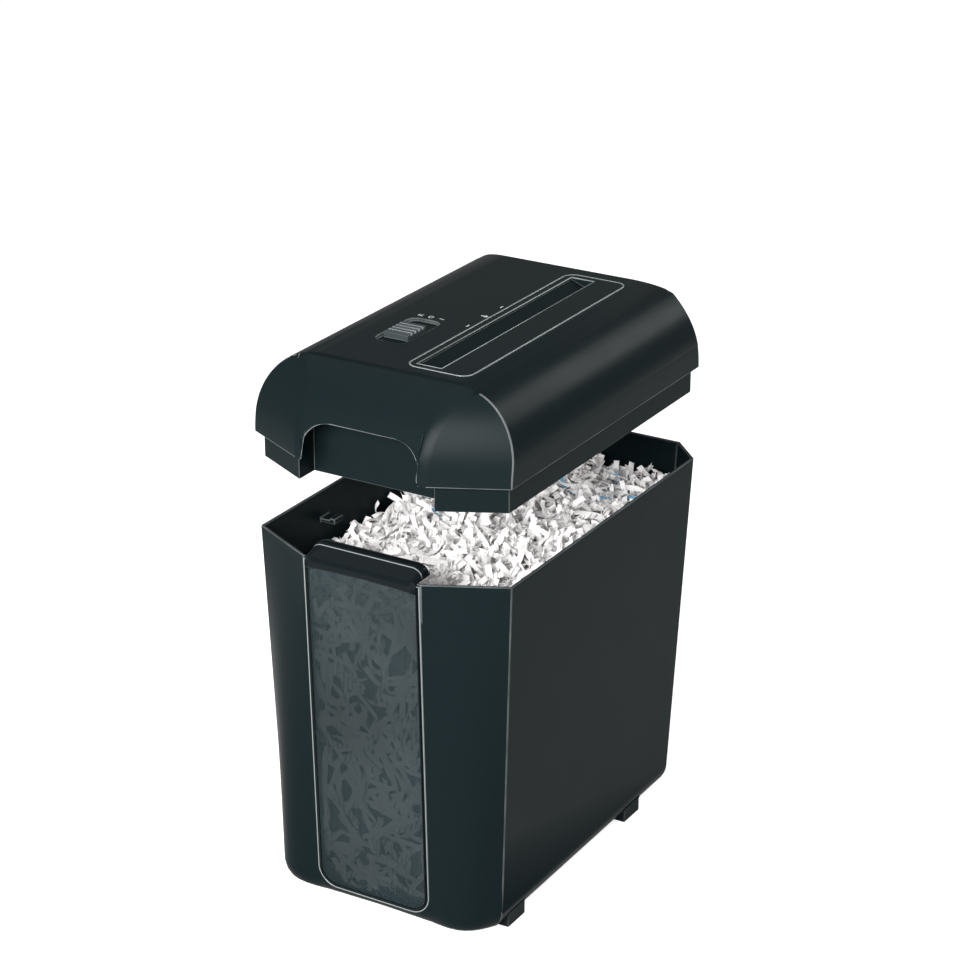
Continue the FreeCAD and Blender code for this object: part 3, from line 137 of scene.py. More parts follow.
class ShredderStudio(bpy.types.PropertyGroup):
    camera_place: FloatVectorProperty(
        name="Camera", description="Where the camera stands", subtype="TRANSLATION",
        unit="LENGTH", default=(1.0019, -1.6739, 1.1166))
    camera_aim: FloatVectorProperty(
        name="Aim", description="What the camera points at", subtype="TRANSLATION",
        unit="LENGTH", default=(-0.0011, -0.0011, 0.3015))
    lens: FloatProperty(
        name="Lens", description="Focal length", default=104.1, min=10, unit="CAMERA")
    overhead: FloatProperty(
        name="Overhead", description="Power of the large lamp overhead", default=7.5,
        min=0, unit="POWER")
    side: FloatProperty(
        name="Side", description="Power of the tall lamp on the right", default=13,
        min=0, unit="POWER")
    front: FloatProperty(
        name="Front", description="Power of the soft lamp in front", default=110,
        min=0, unit="POWER")
    far: FloatProperty(
        name="Far", description="Power of the lamp behind that draws the shoulder's highlight",
        default=9, min=0, unit="POWER")
    room: FloatProperty(
        name="Room", description="Brightness of the room's even light", default=0.28, min=0)


# ------------------------------------------------------------------ node helpers
def add(tree, kind, inputs=None, **settings):
    """A new node with its settings, and its inputs set to values or linked to sockets."""
    made = tree.nodes.new(kind)
    for name, value in settings.items():
        setattr(made, name, value)
    for key, value in (inputs or {}).items():
        if isinstance(value, bpy.types.NodeSocket):
            tree.links.new(value, made.inputs[key])
        else:
            made.inputs[key].default_value = value
    return made


def maths(tree, operation, first, second=0.0):
    return add(tree, "ShaderNodeMath", {0: first, 1: second}, operation=operation).outputs[0]


def per_size(tree, size):
    """The texture scale whose features have this size in metres."""
    return maths(tree, "DIVIDE", 1.0, size)


def vector(tree, x=0.0, y=0.0, z=0.0):
    return add(tree, "ShaderNodeCombineXYZ", {0: x, 1: y, 2: z}).outputs[0]


def spread(tree, value, low, high, to_low=0.0, to_high=1.0):
    """Map a value from one span to another, held at the ends."""
    return add(tree, "ShaderNodeMapRange", {
        "Value": value, "From Min": low, "From Max": high, "To Min": to_low,
        "To Max": to_high}).outputs["Result"]


def tinted(tree, factor, first, second):
    return add(tree, "ShaderNodeMix", {0: factor, 6: first, 7: second},
               data_type="RGBA").outputs[2]


def noise(tree, place, scale, detail=2.0):
    return add(tree, "ShaderNodeTexNoise", {"Vector": place, "Scale": scale,
                                            "Detail": detail}).outputs["Fac"]


def effect_group(name, inputs, outputs):
    """An empty shader group with named float or vector inputs and float outputs."""
    tree = bpy.data.node_groups.new(name, "ShaderNodeTree")
    for label, value in inputs.items():
        kind = "NodeSocketVector" if value is None else "NodeSocketFloat"
        made = tree.interface.new_socket(label, in_out="INPUT", socket_type=kind)
        if value is not None:
            made.default_value = value
    for label in outputs:
        tree.interface.new_socket(label, in_out="OUTPUT", socket_type="NodeSocketFloat")
    given = tree.nodes.new("NodeGroupInput")
    return tree, given.outputs, tree.nodes.new("NodeGroupOutput")


def finish_group(tree, leaving, results):
    for label, socket in results.items():
        tree.links.new(socket, leaving.inputs[label])
    return tree


def moulded_grain():
    """Fine moulded texture: a height for bump and a slow tone that varies the gloss."""
    tree, given, leaving = effect_group(
        "moulded_grain", {"Vector": None, "Grain Size": 0.0006, "Patch Size": 0.05},
        ("Height", "Tone"))
    fine = noise(tree, given["Vector"], per_size(tree, given["Grain Size"]), 1.5)
    slow = noise(tree, given["Vector"], per_size(tree, given["Patch Size"]), 3.0)
    return finish_group(tree, leaving, {"Height": fine, "Tone": spread(tree, slow, 0.3, 0.7)})


def handled_wear():
    """A painted highlight on the rounded edges, broken up by noise, and where dust has settled."""
    tree, given, leaving = effect_group(
        "handled_wear", {"Vector": None, "Rounded": 0.0, "Highlight Break Size": 0.03,
                         "Speck Size": 0.004}, ("Edge", "Specks"))
    # slow patches that break up the painted highlight on the rounded edges
    slow = noise(tree, given["Vector"], per_size(tree, given["Highlight Break Size"]), 3.0)
    broken = spread(tree, slow, 0.32, 0.62, 0.45, 1.0)
    cells = add(tree, "ShaderNodeTexVoronoi", {
        "Vector": given["Vector"], "Scale": per_size(tree, given["Speck Size"])}).outputs["Distance"]
    # Edge is a painted highlight on the rounded faces; Specks is real dust
    return finish_group(tree, leaving, {
        "Edge": maths(tree, "MULTIPLY", given["Rounded"], broken),
        "Specks": spread(tree, cells, 0.07, 0.0)})


def brushed_lines():
    """Long fine lines along one axis of the piece, for ground and rolled metal."""
    tree, given, leaving = effect_group(
        "brushed_lines", {"Vector": None, "Line Size": 0.0004}, ("Height", "Tone"))
    lines = noise(tree, given["Vector"], per_size(tree, given["Line Size"]), 2.0)
    slow = noise(tree, given["Vector"], 60.0, 2.0)
    return finish_group(tree, leaving, {"Height": lines, "Tone": spread(tree, slow, 0.3, 0.7)})


EFFECTS = {}
FINISHES = {}
TREES = {}


def fresh(name):
    """A new finish: its tree, its shader and the piece's own coordinates."""
    made = bpy.data.materials.new(name)
    made.use_nodes = True
    tree = made.node_tree
    shader = tree.nodes["Principled BSDF"]
    place = tree.nodes.new("ShaderNodeTexCoord").outputs["Object"]
    FINISHES[name] = made
    return tree, shader, place


def effect(tree, name, place, values):
    """The outputs of a shared effect, placed in a finish with its own values."""
    return add(tree, "ShaderNodeGroup", {"Vector": place, **values},
               node_tree=EFFECTS[name]).outputs


def wire(tree, shader, **values):
    """Set or link the shader's inputs; underscores stand for spaces."""
    for name, value in values.items():
        socket = shader.inputs[name.replace("_", " ")]
        if isinstance(value, bpy.types.NodeSocket):
            tree.links.new(value, socket)
        else:
            socket.default_value = value


def bumped(tree, height, strength, depth):
    return add(tree, "ShaderNodeBump", {"Height": height, "Strength": strength,
                                        "Distance": depth}).outputs["Normal"]


def four(colour):
    return (*colour, 1.0)


def moulded(name, colour, roughness, grain=0.0006, depth=0.00003, edge=0.3, specular=0.3):
    """Moulded plastic: fine grain, slow changes of gloss, a painted highlight on the rounded edges,
    dust specks.
    """
    tree, shader, place = fresh(name)
    gloss_spread, dust = 0.02, 0.12
    grained = effect(tree, "grain", place, {"Grain Size": grain})
    rounding = add(tree, "ShaderNodeAttribute", attribute_name="edge").outputs["Fac"]
    highlight_and_specks = effect(tree, "wear", place, {"Rounded": rounding})
    # the rounded edge faces are lightened: a painted highlight, its strength set by edge
    edge_highlight_colour = tuple(min(1.0, 2.5 * part + 0.11) for part in colour)
    edge_highlighted = tinted(tree, maths(tree, "MULTIPLY", highlight_and_specks["Edge"], edge), four(colour), four(edge_highlight_colour))
    dusty = tinted(tree, maths(tree, "MULTIPLY", highlight_and_specks["Specks"], dust), edge_highlighted,
                   four(tuple(part + 0.05 for part in colour)))
    wire(tree, shader, Base_Color=dusty,
         Roughness=spread(tree, grained["Tone"], 0.0, 1.0, roughness - gloss_spread,
                          roughness + gloss_spread),
         Specular_IOR_Level=specular, Normal=bumped(tree, grained["Height"], 0.5, depth))


def metal(name, colour, roughness, stretch=(1, 0.04, 1), line=0.0004):
    """Ground or plated metal with lines along one axis."""
    tree, shader, place = fresh(name)
    along = add(tree, "ShaderNodeMapping", {"Vector": place, "Scale": stretch}).outputs[0]
    lines = effect(tree, "lines", along, {"Line Size": line})
    darker = tuple(0.72 * part for part in colour)
    wire(tree, shader, Metallic=1.0,
         Base_Color=tinted(tree, lines["Tone"], four(darker), four(colour)),
         Roughness=spread(tree, lines["Height"], 0.3, 0.7, roughness - 0.08, roughness + 0.08),
         Normal=bumped(tree, lines["Height"], 0.4, 0.00002))


def paper_finish(name, colour):
    """Copier paper: each strip has its own tone, one in seven carries print, a few are blue."""
    tree, shader, place = fresh(name)
    printed_share, blue_from = 0.14, 0.993
    shade = add(tree, "ShaderNodeAttribute", attribute_name="shade").outputs["Fac"]
    tone = tinted(tree, spread(tree, shade, 0.0, 0.8), four(tuple(0.93 * part for part in colour)),
                  four(colour))
    rows = add(tree, "ShaderNodeTexWave", {"Vector": place, "Scale": 75.0, "Distortion": 6.0,
                                           "Detail": 2.0}).outputs["Fac"]
    printed = maths(tree, "MULTIPLY", spread(tree, rows, 0.7, 0.85),
                    spread(tree, shade, printed_share + 0.01, printed_share - 0.01))
    inked = tinted(tree, maths(tree, "MULTIPLY", printed, 0.55), tone, (0.12, 0.12, 0.13, 1.0))
    blue = tinted(tree, spread(tree, shade, blue_from, blue_from + 0.001), inked,
                  (0.20, 0.46, 0.66, 1.0))
    fibres = noise(tree, place, 2600.0, 3.0)
    wire(tree, shader, Base_Color=blue, Roughness=spread(tree, fibres, 0.3, 0.7, 0.8, 0.95),
         Specular_IOR_Level=0.2, Normal=bumped(tree, fibres, 0.35, 0.00005))


def smoked_finish(name, colour):
    """Smoked plastic that shows the paper behind it faintly."""
    tree, shader, place = fresh(name)
    slow = noise(tree, place, 14.0)
    paler = four(tuple(1.5 * part for part in colour))
    wire(tree, shader, Base_Color=tinted(tree, spread(tree, slow, 0.3, 0.7), four(colour), paler),
         Roughness=spread(tree, noise(tree, place, 40.0, 3.0), 0.3, 0.7, 0.10, 0.16),
         Alpha=spread(tree, slow, 0.2, 0.8, 0.68, 0.63), Specular_IOR_Level=0.08)


def board_finish(name):
    """Green solder mask with a pattern of tracks and pads."""
    tree, shader, place = fresh(name)
    grid = add(tree, "ShaderNodeTexBrick", {
        "Vector": place, "Scale": 95.0, "Mortar Size": 0.03, "Color1": (0, 0, 0, 1),
        "Color2": (0.15, 0.15, 0.15, 1), "Mortar": (1, 1, 1, 1)}).outputs["Color"]
    pads = add(tree, "ShaderNodeTexVoronoi", {"Vector": place, "Scale": 260.0}).outputs["Distance"]
    tracks = tinted(tree, grid, (0.012, 0.10, 0.035, 1), (0.03, 0.20, 0.07, 1))
    dots = spread(tree, pads, 0.16, 0.10)
    wire(tree, shader, Base_Color=tinted(tree, dots, tracks, (0.55, 0.55, 0.52, 1)),
         Metallic=maths(tree, "MULTIPLY", dots, 0.8), Roughness=0.35,
         Normal=bumped(tree, grid, 0.3, 0.00005))


# ------------------------------------------------------------------ mesh helpers
def linked(name, mesh):
    made = bpy.data.objects.new(name, mesh)
    bpy.context.scene.collection.objects.link(made)
    return made


def shape_of(mesh):
    shape = bmesh.new()
    shape.from_mesh(mesh)
    return shape


def write_back(shape, mesh):
    shape.to_mesh(mesh)
    shape.free()
    return mesh


def solid_mesh(name, shape):
    return write_back(shape, bpy.data.meshes.new(name))


def from_lists(name, points, faces):
    mesh = bpy.data.meshes.new(name)
    mesh.from_pydata(points, [], faces)
    mesh.update()
    return mesh


def facing_out(mesh):
    """Point every face of a closed mesh outwards."""
    shape = shape_of(mesh)
    bmesh.ops.recalc_face_normals(shape, faces=shape.faces)
    return write_back(shape, mesh)


def tube_faces(rings, sides, closed):
    """The side faces of a tube whose corners are listed ring by ring."""
    return [(k * sides + s, k * sides + (s + 1) % sides,
             (k + 1) % rings * sides + (s + 1) % sides, (k + 1) % rings * sides + s)
            for k in range(rings if closed else rings - 1) for s in range(sides)]


def cut_across(shape, place, normal, **ways):
    bmesh.ops.bisect_plane(shape, geom=shape.verts[:] + shape.edges[:] + shape.faces[:],
                           plane_co=place, plane_no=normal, **ways)


def divide(shape, longest, times):
    """Split a surface into triangles, halving its longer edges a few times."""
    bmesh.ops.triangulate(shape, faces=shape.faces)
    for _ in range(times):
        bmesh.ops.subdivide_edges(
            shape, edges=[e for e in shape.edges if e.calc_length() > longest], cuts=1)
        bmesh.ops.triangulate(shape, faces=shape.faces)


def islands(shape):
    """The corners of each loose part, part by part."""
    seen, found = set(), []
    for start in shape.verts:
        if start in seen:
            continue
        seen.add(start)
        island = [start]
        for at in island:
            for edge in at.link_edges:
                other = edge.other_vert(at)
                if other not in seen:
                    seen.add(other)
                    island.append(other)
        found.append(island)
    return found


def smooth_by_angle(mesh, degrees):
    mesh.shade_smooth()
    mesh.set_sharp_from_angle(angle=math.radians(degrees))


def settle(made):
    """Replace the mesh with what its modifiers make of it, and take them off."""
    bpy.context.view_layer.update()
    graph = bpy.context.evaluated_depsgraph_get()
    mesh = bpy.data.meshes.new_from_object(made.evaluated_get(graph),
                                           preserve_all_data_layers=True, depsgraph=graph)
    made.modifiers.clear()
    old, made.data = made.data, mesh
    mesh.name = made.name
    bpy.data.meshes.remove(old)
    return made


def welded(node):
    """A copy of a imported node's mesh with its triangles welded and its flat faces whole."""
    shape = shape_of(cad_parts[node].data)
    bmesh.ops.remove_doubles(shape, verts=shape.verts, dist=WELD)
    bmesh.ops.dissolve_limit(shape, angle_limit=math.radians(0.4), verts=shape.verts,
                             edges=shape.edges)
    return shape


def paint(made, finish):
    made.data.materials.clear()
    made.data.materials.append(FINISHES[finish])
    return made


def keep(made, body, slot, *nodes):
    """Hold a finished piece on its body and hide the imported nodes that it replaces."""
    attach(made, body)
    if nodes:
        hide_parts(*nodes)
    return made


def soft_creases(shape, reach):
    """Blend the nose of a shell into its corner faces with a wide soft rounding."""
    least_turn = math.radians(19)
    creases = []
    for edge in shape.edges:
        if len(edge.link_faces) != 2:
            continue
        end = math.copysign(1, sum(v.co.y for v in edge.verts))
        nose, corner = sorted((f.normal for f in edge.link_faces), key=lambda n: abs(n.x))
        outside = min(end * nose.y, end * corner.y) > 0.03
        meeting = abs(nose.x) < 0.04 and abs(corner.x) > 0.15
        if outside and meeting and nose.angle(corner) > least_turn:
            creases.append(edge)
    bmesh.ops.bevel(shape, geom=creases, offset=reach, segments=6, profile=0.5, affect="EDGES",
                    clamp_overlap=False)


def corner_span(flat, middle, along):
    """How far a corner face reaches to each side of its middle, at its foot and its top."""
    heights = [v.co.z for v in flat.verts]
    foot, top = min(heights), max(heights)
    ends = []
    for level in (foot, top):
        row = [(v.co - middle).dot(along) for v in flat.verts if abs(v.co.z - level) < 0.004]
        ends.append((min(row), max(row)))
    return foot, top, ends


def swell_corners(shape, bulge):
    """Swell the corner faces beside the window, most at the foot and not at all at the rim."""
    rows, columns = 12, 10
    skin_out, skin_in = -0.002, 0.024  # the layer that is cut into rows and columns
    held, fading = 0.004, 0.03  # walls down to the first depth move in full, then less and less
    for way in (-1, 1):
        flat = max((f for f in shape.faces if way * f.normal.x > 0.3 and f.normal.y < -0.3),
                   key=lambda face: face.calc_area())
        normal, middle = flat.normal.copy(), flat.calc_center_median()
        along = Vector((0, 0, 1)).cross(normal).normalized()
        foot, top, (foot_ends, top_ends) = corner_span(flat, middle, along)

        def place_of(co):
            """How far a point is across the face, from 0 to 1, and how deep behind it."""
            share = (co.z - foot) / (top - foot)
            low, high = [a + (b - a) * share for a, b in zip(foot_ends, top_ends)]
            return ((co - middle).dot(along) - low) / (high - low), (middle - co).dot(normal)

        cuts = [(Vector((0, 0, foot + (top - foot) * k / rows)), Vector((0, 0, 1)))
                for k in range(rows)]
        cuts += [(middle + along * (foot_ends[0] + (foot_ends[1] - foot_ends[0]) * k / columns),
                  along) for k in range(1, columns)]
        for place, across_way in cuts:
            near = []
            for face in shape.faces:
                across, depth = place_of(face.calc_center_median())
                if 0.02 < across < 0.98 and skin_out < depth < skin_in:
                    near.append(face)
            geom = list({part for face in near for part in (*face.verts, *face.edges)}) + near
            bmesh.ops.bisect_plane(shape, geom=geom, plane_co=place, plane_no=across_way)
        for v in shape.verts:
            across, depth = place_of(v.co)
            if 0.0 < across < 1.0 and depth < held + fading:
                hold = min(1.0, 1.0 - (depth - held) / fading)
                fall = min(1.0, max(0.0, (top - v.co.z) / (top - foot)))
                v.co += normal * (bulge * math.sin(math.pi * across) * hold * fall ** 0.8)


def rounded(node, name, finish, slot, body, width, segments=2, angle=24, soft=0.0,
            cuts=(), bulge=0.0):
    """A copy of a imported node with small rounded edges, in its place.

    Faces with a hole are cut across at the given planes before their edges are rounded.
    """
    shape = welded(node)
    for place, normal in cuts:
        cut_across(shape, place, normal)
    if bulge:
        swell_corners(shape, bulge)
    if soft:
        soft_creases(shape, soft)
    mesh = solid_mesh(name, shape)
    made = linked(name, mesh)
    mesh.shade_smooth()
    bevel = made.modifiers.new("round", "BEVEL")
    bevel.width, bevel.segments = width, segments
    bevel.limit_method, bevel.angle_limit = "ANGLE", math.radians(angle)
    bevel.use_clamp_overlap = False
    bevel.material = 1
    for part in (finish, finish):
        mesh.materials.append(FINISHES[part])
    settle(made)
    mark_rounding(made.data)
    smooth_by_angle(made.data, 40)
    weigh = made.modifiers.new("weigh", "WEIGHTED_NORMAL")
    weigh.keep_sharp = True
    weigh.weight = 80
    settle(made)
    paint(made, finish)
    return keep(made, body, slot, node)


def mark_rounding(mesh):
    """Note which faces are rounded edges, and give every face the one finish."""
    notes = mesh.attributes.new("edge", "FLOAT", "FACE")
    notes.data.foreach_set("value", [float(face.material_index) for face in mesh.polygons])
    for face in mesh.polygons:
        face.material_index = 0


def coat_node(finish, *nodes):
    """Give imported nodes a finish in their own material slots."""
    for node in nodes:
        paint(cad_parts[node], finish)


def facing(node, direction, limit=SQUARE_ON):
    """The faces of a node that look one way, welded and on their own."""
    shape = welded(node)
    away = Vector(direction)
    bmesh.ops.delete(shape, context="FACES", geom=[
        f for f in shape.faces if f.normal.dot(away) < limit])
    return shape


def outline_path(shape):
    """The corners of an open surface's edge, in order."""
    edges = [e for e in shape.edges if e.is_boundary]
    start = edges[0]
    path = [start.verts[0], start.verts[1]]
    used = {start}
    while True:
        following = [e for e in path[-1].link_edges if e.is_boundary and e not in used]
        if not following:
            break
        used.add(following[0])
        path.append(following[0].other_vert(path[-1]))
    return [v.co.copy() for v in path[:-1]]


def swept(name, path, out, up, profile):
    """A closed moulding along a closed flat path: profile runs (outward, up) in metres."""
    points = []
    for k, at in enumerate(path):
        spans = (at - path[k - 1], path[(k + 1) % len(path)] - at)
        sideways = [span.normalized().cross(up) * out for span in spans]
        outward = (sideways[0] + sideways[1]).normalized()
        outward /= max(0.4, outward.dot(sideways[0]))
        points += [at + outward * u + up * v for u, v in profile]
    faces = tube_faces(len(path), len(profile), True)
    mesh = facing_out(from_lists(name, points, faces))
    smooth_by_angle(mesh, 38)
    return linked(name, mesh)


def with_highlight_rows(made, sides, highlight_rows):
    """Glossy black, with some rows of a tube's faces in the grey finish of a painted highlight line.
    """
    paint(made, "trim_gloss")
    made.data.materials.append(FINISHES["highlight_line_gloss"])
    for face in made.data.polygons:
        if len(face.vertices) == 4 and face.index % sides in highlight_rows:
            face.material_index = 1


# ------------------------------------------------------------------ geometry trees
def geometry_tree(name, inputs):
    """An empty geometry tree whose named inputs hold (kind, default)."""
    tree = bpy.data.node_groups.new(name, "GeometryNodeTree")
    tree.interface.new_socket("Geometry", in_out="INPUT", socket_type="NodeSocketGeometry")
    for label, (kind, value) in inputs.items():
        made = tree.interface.new_socket(label, in_out="INPUT", socket_type="NodeSocket" + kind)
        if value is not None:
            made.default_value = value
    tree.interface.new_socket("Geometry", in_out="OUTPUT", socket_type="NodeSocketGeometry")
    return tree, tree.nodes.new("NodeGroupInput").outputs, tree.nodes.new("NodeGroupOutput")


def through(tree, kind, geometry, inputs=None, **settings):
    """The geometry that comes out of one more node."""
    return add(tree, kind, {"Geometry": geometry, **(inputs or {})}, **settings).outputs[0]


def leave(tree, leaving, geometry, finish):
    """End a tree: real geometry in its material."""
    real = through(tree, "GeometryNodeRealizeInstances", geometry)
    done = through(tree, "GeometryNodeSetMaterial", real, {"Material": finish})
    tree.links.new(done, leaving.inputs["Geometry"])


def grow(made, tree, values):
    """Run a geometry tree on an object and keep the result as a plain mesh."""
    grown = made.modifiers.new(tree.name, "NODES")
    grown.node_group = tree
    for item in tree.interface.items_tree:
        if item.item_type == "SOCKET" and item.in_out == "INPUT" and item.name in values:
            grown[item.identifier] = values[item.name]
    return settle(made)


def bent_strip_tree():
    """One paper strip, bent along its length and twisted about it."""
    tree, given, leaving = geometry_tree("bent_strip", {
        "Length": ("Float", 0.03), "Width": ("Float", 0.004), "Thickness": ("Float", 0.0002),
        "Bend": ("Float", 1.0), "Twist": ("Float", 0.5)})
    block = add(tree, "GeometryNodeMeshCube", {
        "Size": vector(tree, given["Length"], given["Width"], given["Thickness"]),
        "Vertices X": 8, "Vertices Y": 2, "Vertices Z": 2}).outputs["Mesh"]
    here = tree.nodes.new("GeometryNodeInputPosition").outputs[0]
    place = add(tree, "ShaderNodeSeparateXYZ", {0: here}).outputs
    share = maths(tree, "DIVIDE", place["X"], given["Length"])
    angle = maths(tree, "MULTIPLY", share, given["Bend"])
    radius = maths(tree, "DIVIDE", given["Length"], given["Bend"])
    arm = maths(tree, "SUBTRACT", radius, place["Z"])
    across = maths(tree, "MULTIPLY", maths(tree, "SINE", angle), arm)
    upward = maths(tree, "MULTIPLY", maths(tree, "COSINE", angle), arm)
    curved = vector(tree, across, place["Y"], maths(tree, "SUBTRACT", radius, upward))
    turned = add(tree, "ShaderNodeVectorRotate", {
        "Vector": curved, "Axis": (1, 0, 0),
        "Angle": maths(tree, "MULTIPLY", share, given["Twist"])}).outputs[0]
    bent = through(tree, "GeometryNodeSetPosition", block, {"Position": turned})
    flat = through(tree, "GeometryNodeSetShadeSmooth", bent, {"Shade Smooth": False})
    tree.links.new(flat, leaving.inputs["Geometry"])
    return tree


def strip_heap_tree(strip):
    """Strips strewn over a surface, lifted and tilted at random, each with its own shade."""
    tree, given, leaving = geometry_tree("strip_heap", {
        "Density": ("Float", 40000.0), "Strip Length": ("Float", 0.03),
        "Strip Width": ("Float", 0.0045), "Strip Thickness": ("Float", 0.0002),
        "Loft": ("Float", 0.01), "Tilt": ("Float", 0.6), "Seed": ("Int", 7),
        "Finish": ("Material", None)})

    def chance(low, high, offset, kind="FLOAT"):
        """A value drawn for each strip; each offset gives its own draw."""
        lowest, highest, out = {"FLOAT": (2, 3, 1), "INT": (4, 5, 2),
                                "FLOAT_VECTOR": (0, 1, 0)}[kind]
        seed = maths(tree, "ADD", given["Seed"], float(offset))
        return add(tree, "FunctionNodeRandomValue", {lowest: low, highest: high, "Seed": seed},
                   data_type=kind).outputs[out]

    strewn = add(tree, "GeometryNodeDistributePointsOnFaces", {
        "Mesh": given["Geometry"], "Density": given["Density"], "Seed": given["Seed"]}).outputs
    lift = maths(tree, "MULTIPLY", chance(0.0, 1.0, 1), given["Loft"])
    raised = add(tree, "ShaderNodeVectorMath", {0: strewn["Normal"], "Scale": lift},
                 operation="SCALE").outputs[0]
    points = through(tree, "GeometryNodeSetPosition", strewn["Points"], {"Offset": raised})
    shapes = tree.nodes.new("GeometryNodeJoinGeometry")
    curls = ((0.35, 0.3), (0.9, -0.8), (-0.7, 1.2), (1.6, 0.5), (-1.5, -1.0),
             (2.3, 0.9), (-0.25, -2.0), (0.6, 2.6), (3.1, 0.4), (-2.4, 1.7))  # (bend, twist)
    for bend, twist in curls:
        one = add(tree, "GeometryNodeGroup", {
            "Length": given["Strip Length"], "Width": given["Strip Width"],
            "Thickness": given["Strip Thickness"], "Bend": bend, "Twist": twist},
            node_tree=strip).outputs[0]
        tree.links.new(through(tree, "GeometryNodeGeometryToInstance", one), shapes.inputs[0])
    lean = [maths(tree, "MULTIPLY", chance(-1.0, 1.0, k), given["Tilt"]) for k in (2, 3)]
    swing = vector(tree, *lean, chance(0.0, 2 * math.pi, 4))
    as_turn = add(tree, "FunctionNodeEulerToRotation", {0: swing}).outputs[0]
    turn = add(tree, "FunctionNodeRotateRotation", {0: strewn["Rotation"], 1: as_turn},
               rotation_space="LOCAL").outputs[0]
    laid = add(tree, "GeometryNodeInstanceOnPoints", {
        "Points": points, "Instance": shapes.outputs[0], "Pick Instance": True,
        "Instance Index": chance(0, len(curls) - 1, 5, "INT"), "Rotation": turn,
        "Scale": chance((0.62, 0.8, 1.0), (1.25, 1.15, 1.0), 6, "FLOAT_VECTOR")}).outputs[0]
    shaded = through(tree, "GeometryNodeStoreNamedAttribute", laid,
                     {"Name": "shade", "Value": chance(0.0, 1.0, 8)},
                     data_type="FLOAT", domain="INSTANCE")
    leave(tree, leaving, shaded, given["Finish"])
    return tree


def bead_tree():
    """A round bead along every edge that it is given."""
    tree, given, leaving = geometry_tree("round_bead", {
        "Radius": ("Float", 0.0005), "Sides": ("Int", 8), "Finish": ("Material", None)})
    curve = add(tree, "GeometryNodeMeshToCurve", {"Mesh": given["Geometry"]}).outputs[0]
    profile = add(tree, "GeometryNodeCurvePrimitiveCircle", {
        "Resolution": given["Sides"], "Radius": given["Radius"]}).outputs[0]
    tube = add(tree, "GeometryNodeCurveToMesh", {"Curve": curve,
                                                 "Profile Curve": profile}).outputs[0]
    leave(tree, leaving, through(tree, "GeometryNodeSetShadeSmooth", tube), given["Finish"])
    return tree


def screw_tree():
    """A domed screw with a cross recess at every point, its head below the point."""
    tree, given, leaving = geometry_tree("cross_screws", {
        "Head Radius": ("Float", 0.0038), "Head Height": ("Float", 0.0024),
        "Shank Radius": ("Float", 0.002), "Shank Length": ("Float", 0.01),
        "Turn": ("Vector", (0.0, 0.0, 0.0)), "Finish": ("Material", None)})

    def times(label, share):
        return maths(tree, "MULTIPLY", given[label], share)

    def raised(geometry, height, **scale):
        return through(tree, "GeometryNodeTransform", geometry,
                       {"Translation": vector(tree, z=height), **scale})

    def cylinder(radius, depth, centre, sides):
        drum = add(tree, "GeometryNodeMeshCylinder", {
            "Vertices": sides, "Radius": radius, "Depth": depth}).outputs["Mesh"]
        return raised(drum, centre)

    def combined(operation, solids, cut_from=None):
        """Join solids, keep what they share, or cut them from another."""
        made = add(tree, "GeometryNodeMeshBoolean", operation=operation)
        if cut_from is not None:
            tree.links.new(cut_from, made.inputs[0])
        for geometry in solids:
            tree.links.new(geometry, made.inputs[1])
        return made.outputs[0]

    head = cylinder(given["Head Radius"], given["Head Height"], times("Head Height", -0.5), 24)
    crown = add(tree, "GeometryNodeMeshUVSphere", {
        "Segments": 24, "Rings": 12, "Radius": times("Head Radius", 1.32)}).outputs["Mesh"]
    dome = raised(crown, times("Head Height", 0.08), Scale=(1.0, 1.0, 0.50))
    domed = combined("INTERSECT", (head, dome))
    arm, web = times("Head Radius", 1.15), times("Head Radius", 0.26)
    bars = tree.nodes.new("GeometryNodeJoinGeometry")
    for long, wide in ((arm, web), (web, arm)):
        size = vector(tree, long, wide, given["Head Height"])
        slab = add(tree, "GeometryNodeMeshCube", {"Size": size}).outputs["Mesh"]
        tree.links.new(raised(slab, times("Head Height", -1.05)), bars.inputs[0])
    cross = combined("UNION", (bars.outputs[0],))
    cut = combined("DIFFERENCE", (cross,), domed)
    shank = cylinder(given["Shank Radius"], given["Shank Length"], times("Shank Length", 0.5), 16)
    whole = tree.nodes.new("GeometryNodeJoinGeometry")
    for geometry in (cut, shank):
        tree.links.new(geometry, whole.inputs[0])
    turn = add(tree, "FunctionNodeEulerToRotation", {0: given["Turn"]}).outputs[0]
    laid = add(tree, "GeometryNodeInstanceOnPoints", {
        "Points": given["Geometry"], "Instance": whole.outputs[0], "Rotation": turn}).outputs[0]
    leave(tree, leaving, laid, given["Finish"])
    return tree


